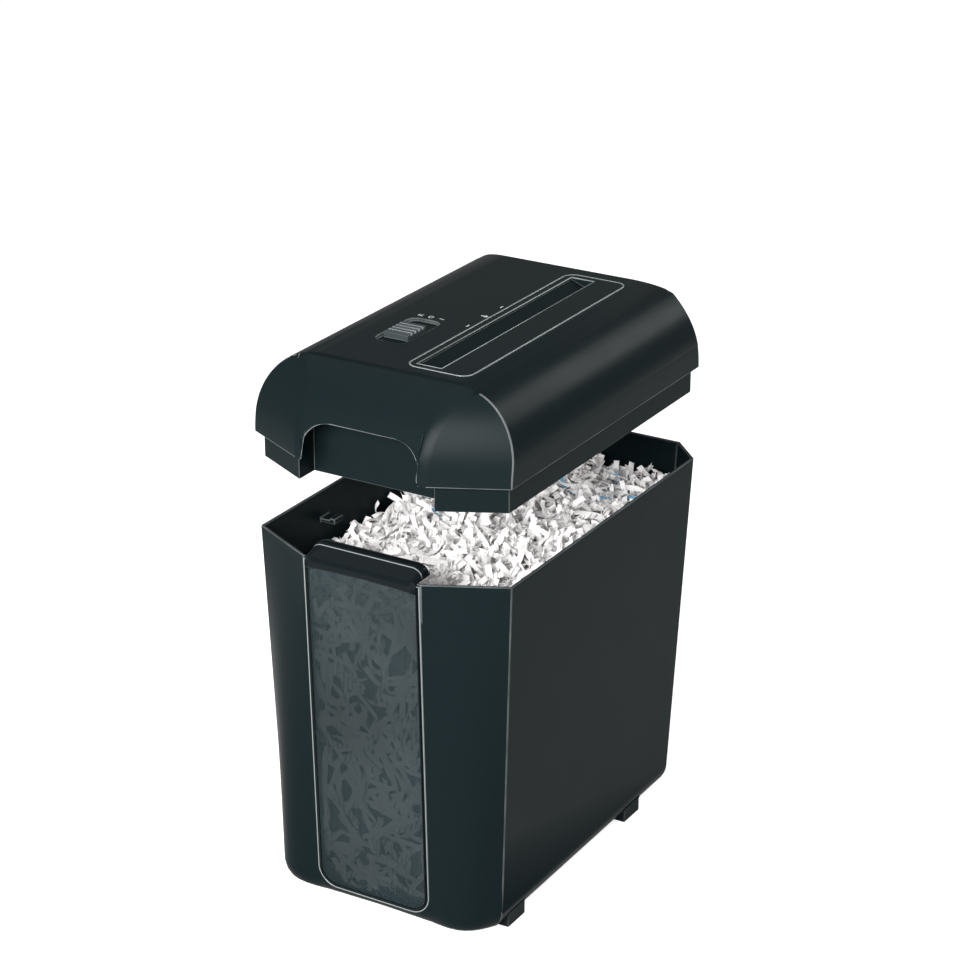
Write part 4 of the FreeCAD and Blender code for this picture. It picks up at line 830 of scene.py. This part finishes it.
# ---------------------------------------------------------------------- operators
class SHREDDER_OT_finishes(bpy.types.Operator):
    """Make the shared effects, the finishes and the geometry trees"""
    bl_idname = "shredder.finishes"
    bl_label = "Finishes"

    def execute(self, context):
        colours = context.scene.shredder_colours
        EFFECTS.update(grain=moulded_grain(), wear=handled_wear(), lines=brushed_lines())
        # edge sets the strength of each finish's painted highlight on its rounded edges
        moulded("bin_satin", colours.bin_black, 0.31, specular=0.03, edge=0.55)
        moulded("head_satin", colours.head_black, 0.30, specular=0.045, edge=0.95)
        moulded("panel_satin", colours.head_black, 0.34, grain=0.0004, specular=0.05, edge=0.3)
        moulded("housing_satin", colours.bin_black, 0.38, specular=0.04, edge=0.6)
        moulded("trim_gloss", colours.trim_black, 0.13, depth=0.000005, specular=0.06)
        # a grey gloss for thin lines on the black trim and beads: painted highlight
        moulded("highlight_line_gloss", (0.17, 0.19, 0.19), 0.24, depth=0.000005, specular=0.4)
        moulded("foot_rubber", colours.bin_black, 0.62, grain=0.0003, depth=0.00006,
                specular=0.12)
        moulded("knob_satin", colours.knob_grey, 0.33, grain=0.0004, specular=0.2, edge=0.9)
        moulded("mark_ink", colours.mark_grey, 0.5, grain=0.0002, depth=0.000005, edge=0.0)
        moulded("nylon", (0.72, 0.69, 0.60), 0.42, grain=0.0004, specular=0.4, edge=0.1)
        moulded("comb_plastic", (0.55, 0.53, 0.47), 0.48, specular=0.35, edge=0.1)
        moulded("guide_plastic", (0.022, 0.024, 0.025), 0.45)
        moulded("lever_plastic", (0.70, 0.70, 0.67), 0.4, specular=0.4, edge=0.1)
        moulded("case_plastic", (0.03, 0.03, 0.031), 0.4, grain=0.0003)
        moulded("plunger_red", (0.60, 0.05, 0.03), 0.35, specular=0.4, edge=0.2)
        moulded("relay_amber", (0.62, 0.40, 0.06), 0.25, depth=0.00001, specular=0.5)
        moulded("can_sleeve", (0.03, 0.04, 0.13), 0.25, depth=0.00001, specular=0.5)
        moulded("gland_rubber", (0.014, 0.015, 0.016), 0.6, grain=0.0003, depth=0.00006)
        moulded("motor_enamel", (0.16, 0.17, 0.175), 0.34, grain=0.001, specular=0.45)
        metal("plated_steel", colours.steel, 0.38)
        metal("bright_steel", (0.62, 0.62, 0.62), 0.22)
        metal("gear_steel", (0.34, 0.34, 0.35), 0.40, (1, 1, 1), 0.0005)
        metal("cutter_steel", (0.42, 0.42, 0.43), 0.28, (1, 0.5, 1), 0.0003)
        metal("core_steel", (0.40, 0.38, 0.36), 0.42, (0.1, 1, 0.1), 0.0005)
        metal("bronze", (0.60, 0.40, 0.18), 0.38, (1, 1, 1), 0.0004)
        paper_finish("paper_white", colours.paper_white)
        # a darker paper for the gaps behind the window: painted shade
        paper_finish("paper_painted_shade", tuple(0.4 * part for part in colours.paper_white))
        smoked_finish("smoked_window", colours.window_smoke)
        board_finish("solder_mask")
        TREES.update(heap=strip_heap_tree(bent_strip_tree()), bead=bead_tree(),
                     screws=screw_tree())
        return {"FINISHED"}


class SHREDDER_OT_bin(bpy.types.Operator):
    """Round the bin's rim and corners and finish it in satin black"""
    bl_idname = "shredder.bin"
    bl_label = "Bin"

    def execute(self, context):
        sizes = context.scene.shredder_sizes
        rounded("bin_shell", "bin_tub", "bin_satin", "bin_plastic", "bin", sizes.shell_round, 3,
                cuts=(((0, 0, 0), (1, 0, 0)), ((0, 0, RIM - 0.0085), (0, 0, 1))),
                bulge=sizes.corner_bulge)
        return {"FINISHED"}


class SHREDDER_OT_feet(bpy.types.Operator):
    """Round the four feet and finish them in rubber"""
    bl_idname = "shredder.feet"
    bl_label = "Feet"

    def execute(self, context):
        sizes = context.scene.shredder_sizes
        for place in ("near_left", "near_right", "far_left", "far_right"):
            rounded("foot_" + place, "pad_" + place, "foot_rubber", "foot_rubber", "bin",
                    2 * sizes.small_round, 3)
        return {"FINISHED"}


class SHREDDER_OT_window(bpy.types.Operator):
    """Finish the smoked window, its glossy frame and the rounded pull over it"""
    bl_idname = "shredder.window"
    bl_label = "Window"

    def execute(self, context):
        coat_node("smoked_window", "window_panel")
        self.frame_ring(context.scene.shredder_sizes.frame_width)
        self.pull()
        return {"FINISHED"}

    def frame_ring(self, wide):
        """A ridge at the window's edge and, outside it, a thin line in a grey painted highlight."""
        front = facing("window_panel", (0, -1, 0))
        path = outline_path(front)
        up = sum((f.normal for f in front.faces), Vector()).normalized()
        front.free()
        turn = (path[1] - path[0]).cross(up)
        out = 1 if turn.dot(path[0] - sum(path, Vector()) / len(path)) > 0 else -1
        ridge = 0.00095
        profile = [(0.00005, -0.0006), (0.00005, 0.0004), (0.0003, ridge - 0.0001),
                   (0.0007, ridge), (0.0011, ridge - 0.0002), (0.0013, 0.0001),
                   (0.0015, -0.0004), (wide - 0.0010, -0.0004), (wide - 0.0008, 0.0),
                   (wide - 0.0006, 0.0003), (wide - 0.0003, 0.0004), (wide, 0.0002),
                   (wide + 0.0002, -0.0006)]
        ring = swept("window_frame", path, out, up, profile)
        # rows 8 to 11, the outer line, are grey: a painted highlight along the edge
        with_highlight_rows(ring, len(profile), (8, 9, 10, 11))
        covered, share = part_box("window_pull")[0].z, 0.6
        for v in ring.data.vertices:
            if v.co.z > covered:  # under the pull the frame stays below the seated head
                v.co.z = covered + share * (v.co.z - covered)
        keep(ring, "bin", "gloss_black")

    def pull(self):
        """A glossy bar that lies over the rim, with a lip over the window and rounded ends."""
        low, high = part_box("window_pull")
        over = RIM + 0.0001
        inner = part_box("window_panel")[0].y - 0.0004
        back, front, crest, lip = high.y, low.y, high.z, low.z
        profile = [  # (y, z, how far the end rounding lowers it)
            (back, over, 0.0), (back, over + 0.0052, 0.8), (back - 0.0010, crest - 0.0018, 1.0),
            (back - 0.0015, crest - 0.0013, 1.0), (back - 0.0032, crest - 0.0003, 1.0),
            (back - 0.0072, crest, 1.0), (back - 0.0092, crest - 0.0005, 1.0),
            (back - 0.0104, crest - 0.0016, 1.0), (back - 0.0109, crest - 0.0021, 1.0),
            (back - 0.0158, over + 0.0042, 0.9), (front + 0.0014, over + 0.0018, 0.6),
            (front + 0.0004, over - 0.0008, 0.1), (front, over - 0.0034, 0.0),
            (front + 0.0002, lip + 0.0012, -0.1), (front + 0.0009, lip + 0.0002, -0.15),
            (inner - 0.0006, lip + 0.0002, -0.15), (inner, lip + 0.001, -0.1),
            (inner, over, 0.0)]
        end_steps = [0.0, 0.03, 0.12, 0.27, 0.46, 0.68, 0.9, 1.0]
        reach, middle, half = 0.0085, (low.x + high.x) / 2, (high.x - low.x) / 2
        along = [low.x + reach * s for s in end_steps]
        along += [low.x + reach + 2 * (half - reach) * k / 10 for k in range(1, 10)]
        along += [high.x - reach * s for s in reversed(end_steps)]
        sunk, tucked, arched = 0.86, 0.0035, 0.0016  # the first two at the ends
        points = []
        for x in along:
            end = min(1.0, min(x - low.x, high.x - x) / reach)
            lost = 1.0 - math.sqrt(max(0.0, 1.0 - (1.0 - end) ** 2))
            share = abs(x - middle) / half
            for y, z, rounding in profile:
                height = z - over
                drop = lost * height * max(rounding, 0.0) * sunk
                tuck = lost * tucked if y < inner - 0.0001 and height > -0.004 else 0.0
                arch = arched * (1.0 - share ** 2) if rounding < 0.0 else 0.0
                points.append((x, min(y + tuck, max(y, inner - 0.0008)), z - drop + arch))
        sides, last = len(profile), (len(along) - 1) * len(profile)
        faces = tube_faces(len(along), sides, False)
        faces += [tuple(range(sides)), tuple(reversed(range(last, last + sides)))]
        mesh = facing_out(from_lists("window_bar", points, faces))
        smooth_by_angle(mesh, 34)
        bar = linked("window_bar", mesh)
        # rows 2 and 7 run along the bar in grey: painted highlight lines
        with_highlight_rows(bar, sides, (2, 7))
        keep(bar, "bin", "gloss_black", "window_pull")


class SHREDDER_OT_paper(bpy.types.Operator):
    """Fill the bin with loose cross-cut shreds"""
    bl_idname = "shredder.paper"
    bl_label = "Paper"

    def execute(self, context):
        sizes = context.scene.shredder_sizes
        values = {"Strip Length": sizes.strip_length, "Strip Width": sizes.strip_width,
                  "Strip Thickness": sizes.strip_thickness, "Finish": FINISHES["paper_white"]}
        core = self.core()
        self.heap(values, sizes)
        self.behind_window(values, sizes)
        keep(core, "bin", "paper", "shredded_paper")
        return {"FINISHED"}

    def heap(self, values, sizes):
        """Loose strips on top, held down where the seated head would meet them."""
        sunk, lump_height, clearance = 0.008, 0.006, 0.0008
        top = facing("shredded_paper", (0, 0, 1))
        bmesh.ops.translate(top, verts=top.verts, vec=(0, 0, -sunk))
        heap = linked("shreds_heap", solid_mesh("shreds_heap", top))
        self.waves(heap.data, lump_height)
        grow(heap, TREES["heap"], {**values, "Density": sizes.heap_density, "Loft": 0.012,
                                   "Tilt": 0.62, "Seed": sizes.seed})
        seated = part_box("lower_housing")[0].z - HEAD_DROP
        self.trim(heap, seated - clearance)
        keep(heap, "bin", "paper")

    def behind_window(self, values, sizes):
        """Strips pressed flat behind the window and a little way to each side of it."""
        margin, set_back, upper, raised = 0.010, 0.0022, 0.2, Vector((0, -0.0006, 0.014))
        side = facing("shredded_paper", (0, -1, 0))
        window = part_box("window_panel")
        for flat, way in ((window[0], -1), (window[1], 1)):
            cut_across(side, (flat.x + way * margin, 0, 0), (way, 0, 0), clear_outer=True)
        bmesh.ops.translate(side, verts=side.verts, vec=(0, set_back, 0))
        for v in side.verts:
            if v.co.z > upper:
                v.co += raised
        pressed = linked("shreds_behind_window", solid_mesh("shreds_behind_window", side))
        grow(pressed, TREES["heap"], {**values, "Density": sizes.window_density, "Loft": 0.0012,
                                      "Tilt": 0.10, "Seed": sizes.seed + 20})
        self.press(pressed.data, set_back)
        self.trim(pressed)
        keep(pressed, "bin", "paper")

    def press(self, mesh, set_back):
        """Flatten strips against the wall behind the window."""
        flattened, pressed_back = 0.6, 0.0024
        near = facing("shredded_paper", (0, -1, 0))
        wall = max(near.faces, key=lambda face: face.calc_area())
        normal, level = wall.normal.copy(), wall.calc_center_median()
        near.free()
        for v in mesh.vertices:
            depth = (v.co - level).dot(normal)
            v.co += normal * (flattened * (depth + set_back) - pressed_back - depth)

    def waves(self, mesh, height):
        """Divide a surface finely and raise it into soft lumps."""
        shape = shape_of(mesh)
        divide(shape, 0.012, 5)
        for v in shape.verts:
            x, y = v.co.x, v.co.y
            broad = 0.5 * math.sin(52 * x + 1.3) * math.cos(38 * y + 0.4)
            v.co.z += height * (broad + 0.32 * math.sin(97 * x - 71 * y)
                                + 0.25 * math.cos(131 * y + 60 * x))
        write_back(shape, mesh)

    def core(self):
        """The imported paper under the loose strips, drawn in from the walls and the top."""
        low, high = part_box("shredded_paper")
        shape = welded("shredded_paper")
        for v in shape.verts:
            v.co.x *= 1 - 0.008 / high.x
            v.co.y *= 1 - 0.010 / high.y
            v.co.z += 0.005 - 0.017 * (v.co.z - low.z) / (high.z - low.z)
        divide(shape, 0.016, 4)
        for v in shape.verts:
            x, y, z = v.co
            v.co.z += 0.0022 * math.sin(140 * x + 90 * y) * math.cos(120 * y - 60 * x)
            v.co.y += 0.0010 * math.sin(150 * x + 210 * z)
        mesh = solid_mesh("paper_core", shape)
        mesh.shade_smooth()
        made = paint(linked("paper_core", mesh), "paper_white")
        # faces behind the window get the darker paper: painted shade in the gaps between the pressed
        # strips
        mesh.materials.append(FINISHES["paper_painted_shade"])
        for face in mesh.polygons:
            painted_shade_behind_window = face.center.y < low.y + 0.022 and abs(face.center.x) < 0.05
            face.material_index = int(painted_shade_behind_window and face.center.z < high.z - 0.03)
        return made

    def trim(self, made, roof=RIM):
        """Take away every strip that would pass through the bin or the seated head."""
        room = welded("shredded_paper")
        walls = [(f.normal.copy(), f.calc_center_median()) for f in room.faces
                 if f.normal.z < 0.5 and f.calc_area() > 0.0001]
        room.free()
        shape = shape_of(made.data)
        outside = []
        for strip in islands(shape):
            push = max((v.co - centre).dot(normal) for v in strip for normal, centre in walls)
            if push > 0.0003 or max(v.co.z for v in strip) > roof:
                outside += strip
        bmesh.ops.delete(shape, geom=outside, context="VERTS")
        write_back(shape, made.data)


class SHREDDER_OT_head(bpy.types.Operator):
    """Round the head's shell and skirt so that their edges catch the light"""
    bl_idname = "shredder.head"
    bl_label = "Head"

    def execute(self, context):
        sizes = context.scene.shredder_sizes
        rounded("top_cover", "head_shell", "head_satin", "cover_plastic", "head",
                sizes.shell_round, 3, 45, sizes.nose_round)
        rounded("lower_housing", "head_tray", "housing_satin", "housing_plastic", "head",
                sizes.small_round, 2)
        return {"FINISHED"}


class SHREDDER_OT_throat(bpy.types.Operator):
    """Finish the throat panel and run thin beads round it and round the throat, grey as a painted
    highlight
    """
    bl_idname = "shredder.throat"
    bl_label = "Throat"

    def execute(self, context):
        sizes = context.scene.shredder_sizes
        rounded("throat_panel", "throat_plate", "panel_satin", "panel_plastic", "head",
                sizes.small_round, 2)
        top = facing("throat_panel", (0, 0, 1), 0.9999)
        level = max(v.co.z for v in top.verts)
        bmesh.ops.delete(top, context="FACES", geom=[
            f for f in top.faces if f.calc_center_median().z < level - 0.0001])
        edges = [e for e in top.edges if e.is_boundary]
        points = sorted({v for e in edges for v in e.verts}, key=lambda v: v.index)
        order = {v: k for k, v in enumerate(points)}
        lines = bpy.data.meshes.new("throat_lines")
        lines.from_pydata([v.co - Vector((0, 0, 0.0002)) for v in points],
                          [[order[v] for v in e.verts] for e in edges], [])
        top.free()
        bead = linked("throat_beads", lines)
        # the beads are grey: a painted highlight along the panel's edges
        grow(bead, TREES["bead"], {"Radius": sizes.bead_radius, "Sides": 8,
                                   "Finish": FINISHES["highlight_line_gloss"]})
        keep(bead, "head", "panel_plastic")
        return {"FINISHED"}


class SHREDDER_OT_switch(bpy.types.Operator):
    """Finish the slide knob and print plain marks beside it"""
    bl_idname = "shredder.switch"
    bl_label = "Switch"

    def execute(self, context):
        sizes = context.scene.shredder_sizes
        low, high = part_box("mode_knob")
        rounded("mode_knob", "slide_knob", "knob_satin", "knob_plastic", "mode_switch",
                sizes.small_round, 2)
        middle = (low + high) / 2
        for k, letters in enumerate(("R", "O", "I")):
            self.letter("mark_" + letters, letters, 0.0062,
                        (middle.x + 0.0085 - 0.009 * (2 - k), middle.y + 0.0375))
        row = middle.x + 0.0325
        self.dash("mark_paper_near", (row, -0.027), 0.004)
        self.dash("mark_paper_far", (row, 0.022), 0.004)
        self.arrow("mark_arrow", (row, -0.0025), 0.0065)
        return {"FINISHED"}

    def flat(self, name, mesh, at, turn=0.0):
        """Lay a flat mark on the head's top and give it a hair of thickness."""
        mesh.transform(Matrix.Translation((at[0], at[1], TOP + INK))
                       @ Matrix.Rotation(turn, 4, "Z"))
        mark = paint(linked(name, mesh), "mark_ink")
        keep(mark, "head", None)

    def letter(self, name, text, size, at):
        curve = bpy.data.curves.new(name, "FONT")
        curve.body, curve.size = text, size
        curve.align_x, curve.align_y = "CENTER", "CENTER"
        curve.extrude = INK
        holder = linked(name + "_outline", curve)
        bpy.context.view_layer.update()
        mesh = bpy.data.meshes.new_from_object(holder)
        bpy.data.objects.remove(holder)
        bpy.data.curves.remove(curve)
        self.flat(name, mesh, at, math.pi / 2)

    def slab(self, name, outline):
        shape = bmesh.new()
        face = shape.faces.new([shape.verts.new((x, y, -INK)) for x, y in outline])
        lifted = bmesh.ops.extrude_face_region(shape, geom=[face])["geom"]
        bmesh.ops.translate(shape, vec=(0, 0, 2 * INK),
                            verts=[g for g in lifted if isinstance(g, bmesh.types.BMVert)])
        return facing_out(solid_mesh(name, shape))

    def dash(self, name, at, long):
        half, thin = long / 2, 0.0005
        self.flat(name, self.slab(name, [(-thin, -half), (thin, -half), (thin, half),
                                         (-thin, half)]), at)

    def arrow(self, name, at, long):
        half, wide, stem = long / 2, long * 0.36, long * 0.11
        self.flat(name, self.slab(name, [
            (-stem, -half), (stem, -half), (stem, 0), (wide, 0), (0, half), (-wide, 0),
            (-stem, 0)]), at, -math.pi / 2)


class SHREDDER_OT_cutting_set(bpy.types.Operator):
    """Finish the rolls, combs, guides, frames and the paper sensor"""
    bl_idname = "shredder.cutting_set"
    bl_label = "Cutting set"

    def execute(self, context):
        coat_node("cutter_steel", "cutter_left", "cutter_right")
        coat_node("comb_plastic", "stripper_comb_left", "stripper_comb_right")
        coat_node("guide_plastic", "paper_guide_left", "paper_guide_right")
        coat_node("plated_steel", "side_frame_near", "side_frame_far", "gear_plate")
        coat_node("bright_steel", "tie_rods", "gear_pins", "lever_pivot_pin")
        coat_node("bronze", "shaft_bushes", "motor_pinion")
        coat_node("lever_plastic", "paper_sensor_lever")
        return {"FINISHED"}


class SHREDDER_OT_drive(bpy.types.Operator):
    """Finish the gears and the motor"""
    bl_idname = "shredder.drive"
    bl_label = "Drive"

    def execute(self, context):
        coat_node("gear_steel", "sync_gear_left", "sync_gear_right", "drive_gear")
        coat_node("nylon", "second_gear", "first_gear")
        coat_node("motor_enamel", "motor_case")
        coat_node("core_steel", "motor_rotor")
        coat_node("case_plastic", "motor_fan")
        return {"FINISHED"}


class SHREDDER_OT_electrics(bpy.types.Operator):
    """Finish the board, switches, plunger and cord gland"""
    bl_idname = "shredder.electrics"
    bl_label = "Electrics"

    def execute(self, context):
        coat_node("solder_mask", "circuit_board")
        coat_node("can_sleeve", "capacitor")
        coat_node("relay_amber", "relay")
        coat_node("case_plastic", "slide_switch", "safety_switch")
        coat_node("plunger_red", "safety_plunger")
        coat_node("gland_rubber", "cord_gland")
        return {"FINISHED"}


class SHREDDER_OT_screws(bpy.types.Operator):
    """Put a cross-head screw in place of each plain one"""
    bl_idname = "shredder.screws"
    bl_label = "Screws"

    def execute(self, context):
        for node, name, axis in (("cover_screws", "cover_bolts", 2),
                                 ("frame_screws", "frame_bolts", 2),
                                 ("motor_screws", "motor_bolts", 1)):
            self.screws(node, name, axis)
        return {"FINISHED"}

    def screws(self, node, name, axis):
        """Put a finished screw in the box of each packed one, which lies along an axis."""
        shape = welded(node)
        boxes = [[Vector([pick(v.co[k] for v in screw) for k in range(3)])
                  for pick in (min, max)] for screw in islands(shape)]
        shape.free()
        low, high = boxes[0]
        radius, long = (high.x - low.x) / 2, high[axis] - low[axis]
        height = 0.63 * radius
        head_low = axis == 2 or self.head_is_near(node)
        points = []
        for low, high in boxes:
            seat = (low + high) / 2
            seat[axis] = low[axis] + height if head_low else high[axis] - height
            points.append(seat)
        lying = -math.pi / 2 if head_low else math.pi / 2
        made = linked(name, from_lists(name, points, []))
        grow(made, TREES["screws"], {
            "Head Radius": radius, "Head Height": height, "Shank Radius": radius * 0.526,
            "Shank Length": long - height, "Turn": (0 if axis == 2 else lying, 0, 0),
            "Finish": FINISHES["bright_steel"]})
        smooth_by_angle(made.data, 30)
        keep(made, "head", "screw_steel", node)

    def head_is_near(self, node):
        """True where the wide end of a lying screw faces -Y."""
        co = [v.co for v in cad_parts[node].data.vertices]
        low, high = min(c.y for c in co), max(c.y for c in co)
        spans = []
        for level in (low, high):
            at = [c for c in co if abs(c.y - level) < 1e-5]
            spans.append(max(c.z for c in at) - min(c.z for c in at))
        return spans[0] > spans[1]


class SHREDDER_OT_stage(bpy.types.Operator):
    """Lay a pale floor, hang soft lamps and place the camera"""
    bl_idname = "shredder.stage"
    bl_label = "Stage"

    def execute(self, context):
        studio = context.scene.shredder_studio
        scene = context.scene
        camera = bpy.data.cameras.new("camera")
        camera.lens, camera.sensor_width = studio.lens, 36
        camera.clip_end = 50
        eye = linked("camera", camera)
        eye.location = studio.camera_place
        aim = Vector(studio.camera_aim) - eye.location
        eye.rotation_mode = "QUATERNION"
        eye.rotation_quaternion = aim.to_track_quat("-Z", "Y")
        scene.camera = eye
        self.floor()
        self.room(scene, studio.room)
        self.lamp("overhead_lamp", (-0.35, -0.25, 1.75), (0, 0, 0.35), (1.7, 1.3),
                  studio.overhead)
        self.lamp("far_lamp", (0.80, 1.60, 1.25), (0, 0, 0.35), (0.5, 0.9), studio.far)
        self.lamp("side_lamp", (1.55, 0.35, 0.95), (0, 0, 0.3), (0.5, 1.3), studio.side)
        self.lamp("front_lamp", (0.2, -2.0, 1.1), (0, 0, 0.3), (1.3, 1.0), studio.front)
        scene.view_settings.view_transform = "Standard"
        return {"FINISHED"}

    def lamp(self, name, at, aim, size, power):
        light = bpy.data.lights.new(name, "AREA")
        light.shape, light.size, light.size_y = "RECTANGLE", size[0], size[1]
        light.energy = power
        made = linked(name, light)
        made.location = at
        made.rotation_mode = "QUATERNION"
        made.rotation_quaternion = (Vector(aim) - Vector(at)).to_track_quat("-Z", "Y")

    def floor(self):
        """A wide pale floor that looks white and keeps the object's shadow."""
        reach, shown, mirrored = 12.0, 0.76, 0.05
        ground = linked("floor", from_lists("floor", [
            (-reach, -reach, 0), (reach, -reach, 0), (reach, reach, 0), (-reach, reach, 0)],
            [(0, 1, 2, 3)]))
        tree, shader, place = fresh("floor_paper")
        faint = spread(tree, noise(tree, place, 3.0), 0.3, 0.7, 0.61, 0.63)
        colour = add(tree, "ShaderNodeCombineColor", {0: faint, 1: faint, 2: faint}).outputs[0]
        rays = tree.nodes.new("ShaderNodeLightPath").outputs
        bounced = maths(tree, "MAXIMUM", rays["Is Glossy Ray"], rays["Is Transmission Ray"])
        glow = maths(tree, "MAXIMUM", maths(tree, "MULTIPLY", rays["Is Camera Ray"], shown),
                     maths(tree, "MULTIPLY", bounced, mirrored))
        wire(tree, shader, Base_Color=colour, Roughness=0.9, Specular_IOR_Level=0.0,
             Emission_Color=(1, 1, 1, 1), Emission_Strength=glow)
        paint(ground, "floor_paper")

    def room(self, scene, strength):
        """White where the camera sees it, and dimmer where it lights the object."""
        scene.world = bpy.data.worlds.new("room")
        scene.world.use_nodes = True
        tree = scene.world.node_tree
        back = tree.nodes["Background"]
        rays = tree.nodes.new("ShaderNodeLightPath").outputs
        level = maths(tree, "MAXIMUM", rays["Is Camera Ray"], strength)
        tree.links.new(level, back.inputs["Strength"])
        back.inputs["Color"].default_value = (1, 1, 1, 1)


STEPS = (
    SHREDDER_OT_finishes, SHREDDER_OT_stage, SHREDDER_OT_bin, SHREDDER_OT_feet,
    SHREDDER_OT_window, SHREDDER_OT_paper, SHREDDER_OT_head, SHREDDER_OT_throat,
    SHREDDER_OT_switch, SHREDDER_OT_cutting_set, SHREDDER_OT_drive, SHREDDER_OT_electrics,
    SHREDDER_OT_screws,
)


class SHREDDER_PT_panel(bpy.types.Panel):
    """Lists the steps and the values a user would change"""
    bl_label = "Shredder"
    bl_idname = "SHREDDER_PT_panel"
    bl_space_type = "VIEW_3D"
    bl_region_type = "UI"
    bl_category = "Shredder"

    def draw(self, context):
        for settings in (context.scene.shredder_colours, context.scene.shredder_sizes,
                         context.scene.shredder_studio):
            column = self.layout.column(align=True)
            for name in settings.__annotations__:
                column.prop(settings, name)
        for step in STEPS:
            self.layout.operator(step.bl_idname)


SETTINGS = {"shredder_colours": ShredderColours, "shredder_sizes": ShredderSizes,
            "shredder_studio": ShredderStudio}


def register():
    for name, settings in SETTINGS.items():
        bpy.utils.register_class(settings)
        setattr(bpy.types.Scene, name, PointerProperty(type=settings))
    for step in (*STEPS, SHREDDER_PT_panel):
        bpy.utils.register_class(step)


def unregister():
    for step in (SHREDDER_PT_panel, *reversed(STEPS)):
        bpy.utils.unregister_class(step)
    for name, settings in SETTINGS.items():
        delattr(bpy.types.Scene, name)
        bpy.utils.unregister_class(settings)


def main():
    """Make every piece in order."""
    register()
    for step in STEPS:
        group, name = step.bl_idname.split(".")
        getattr(getattr(bpy.ops, group), name)()
    bpy.context.view_layer.update()


if __name__ == "__main__":
    main()
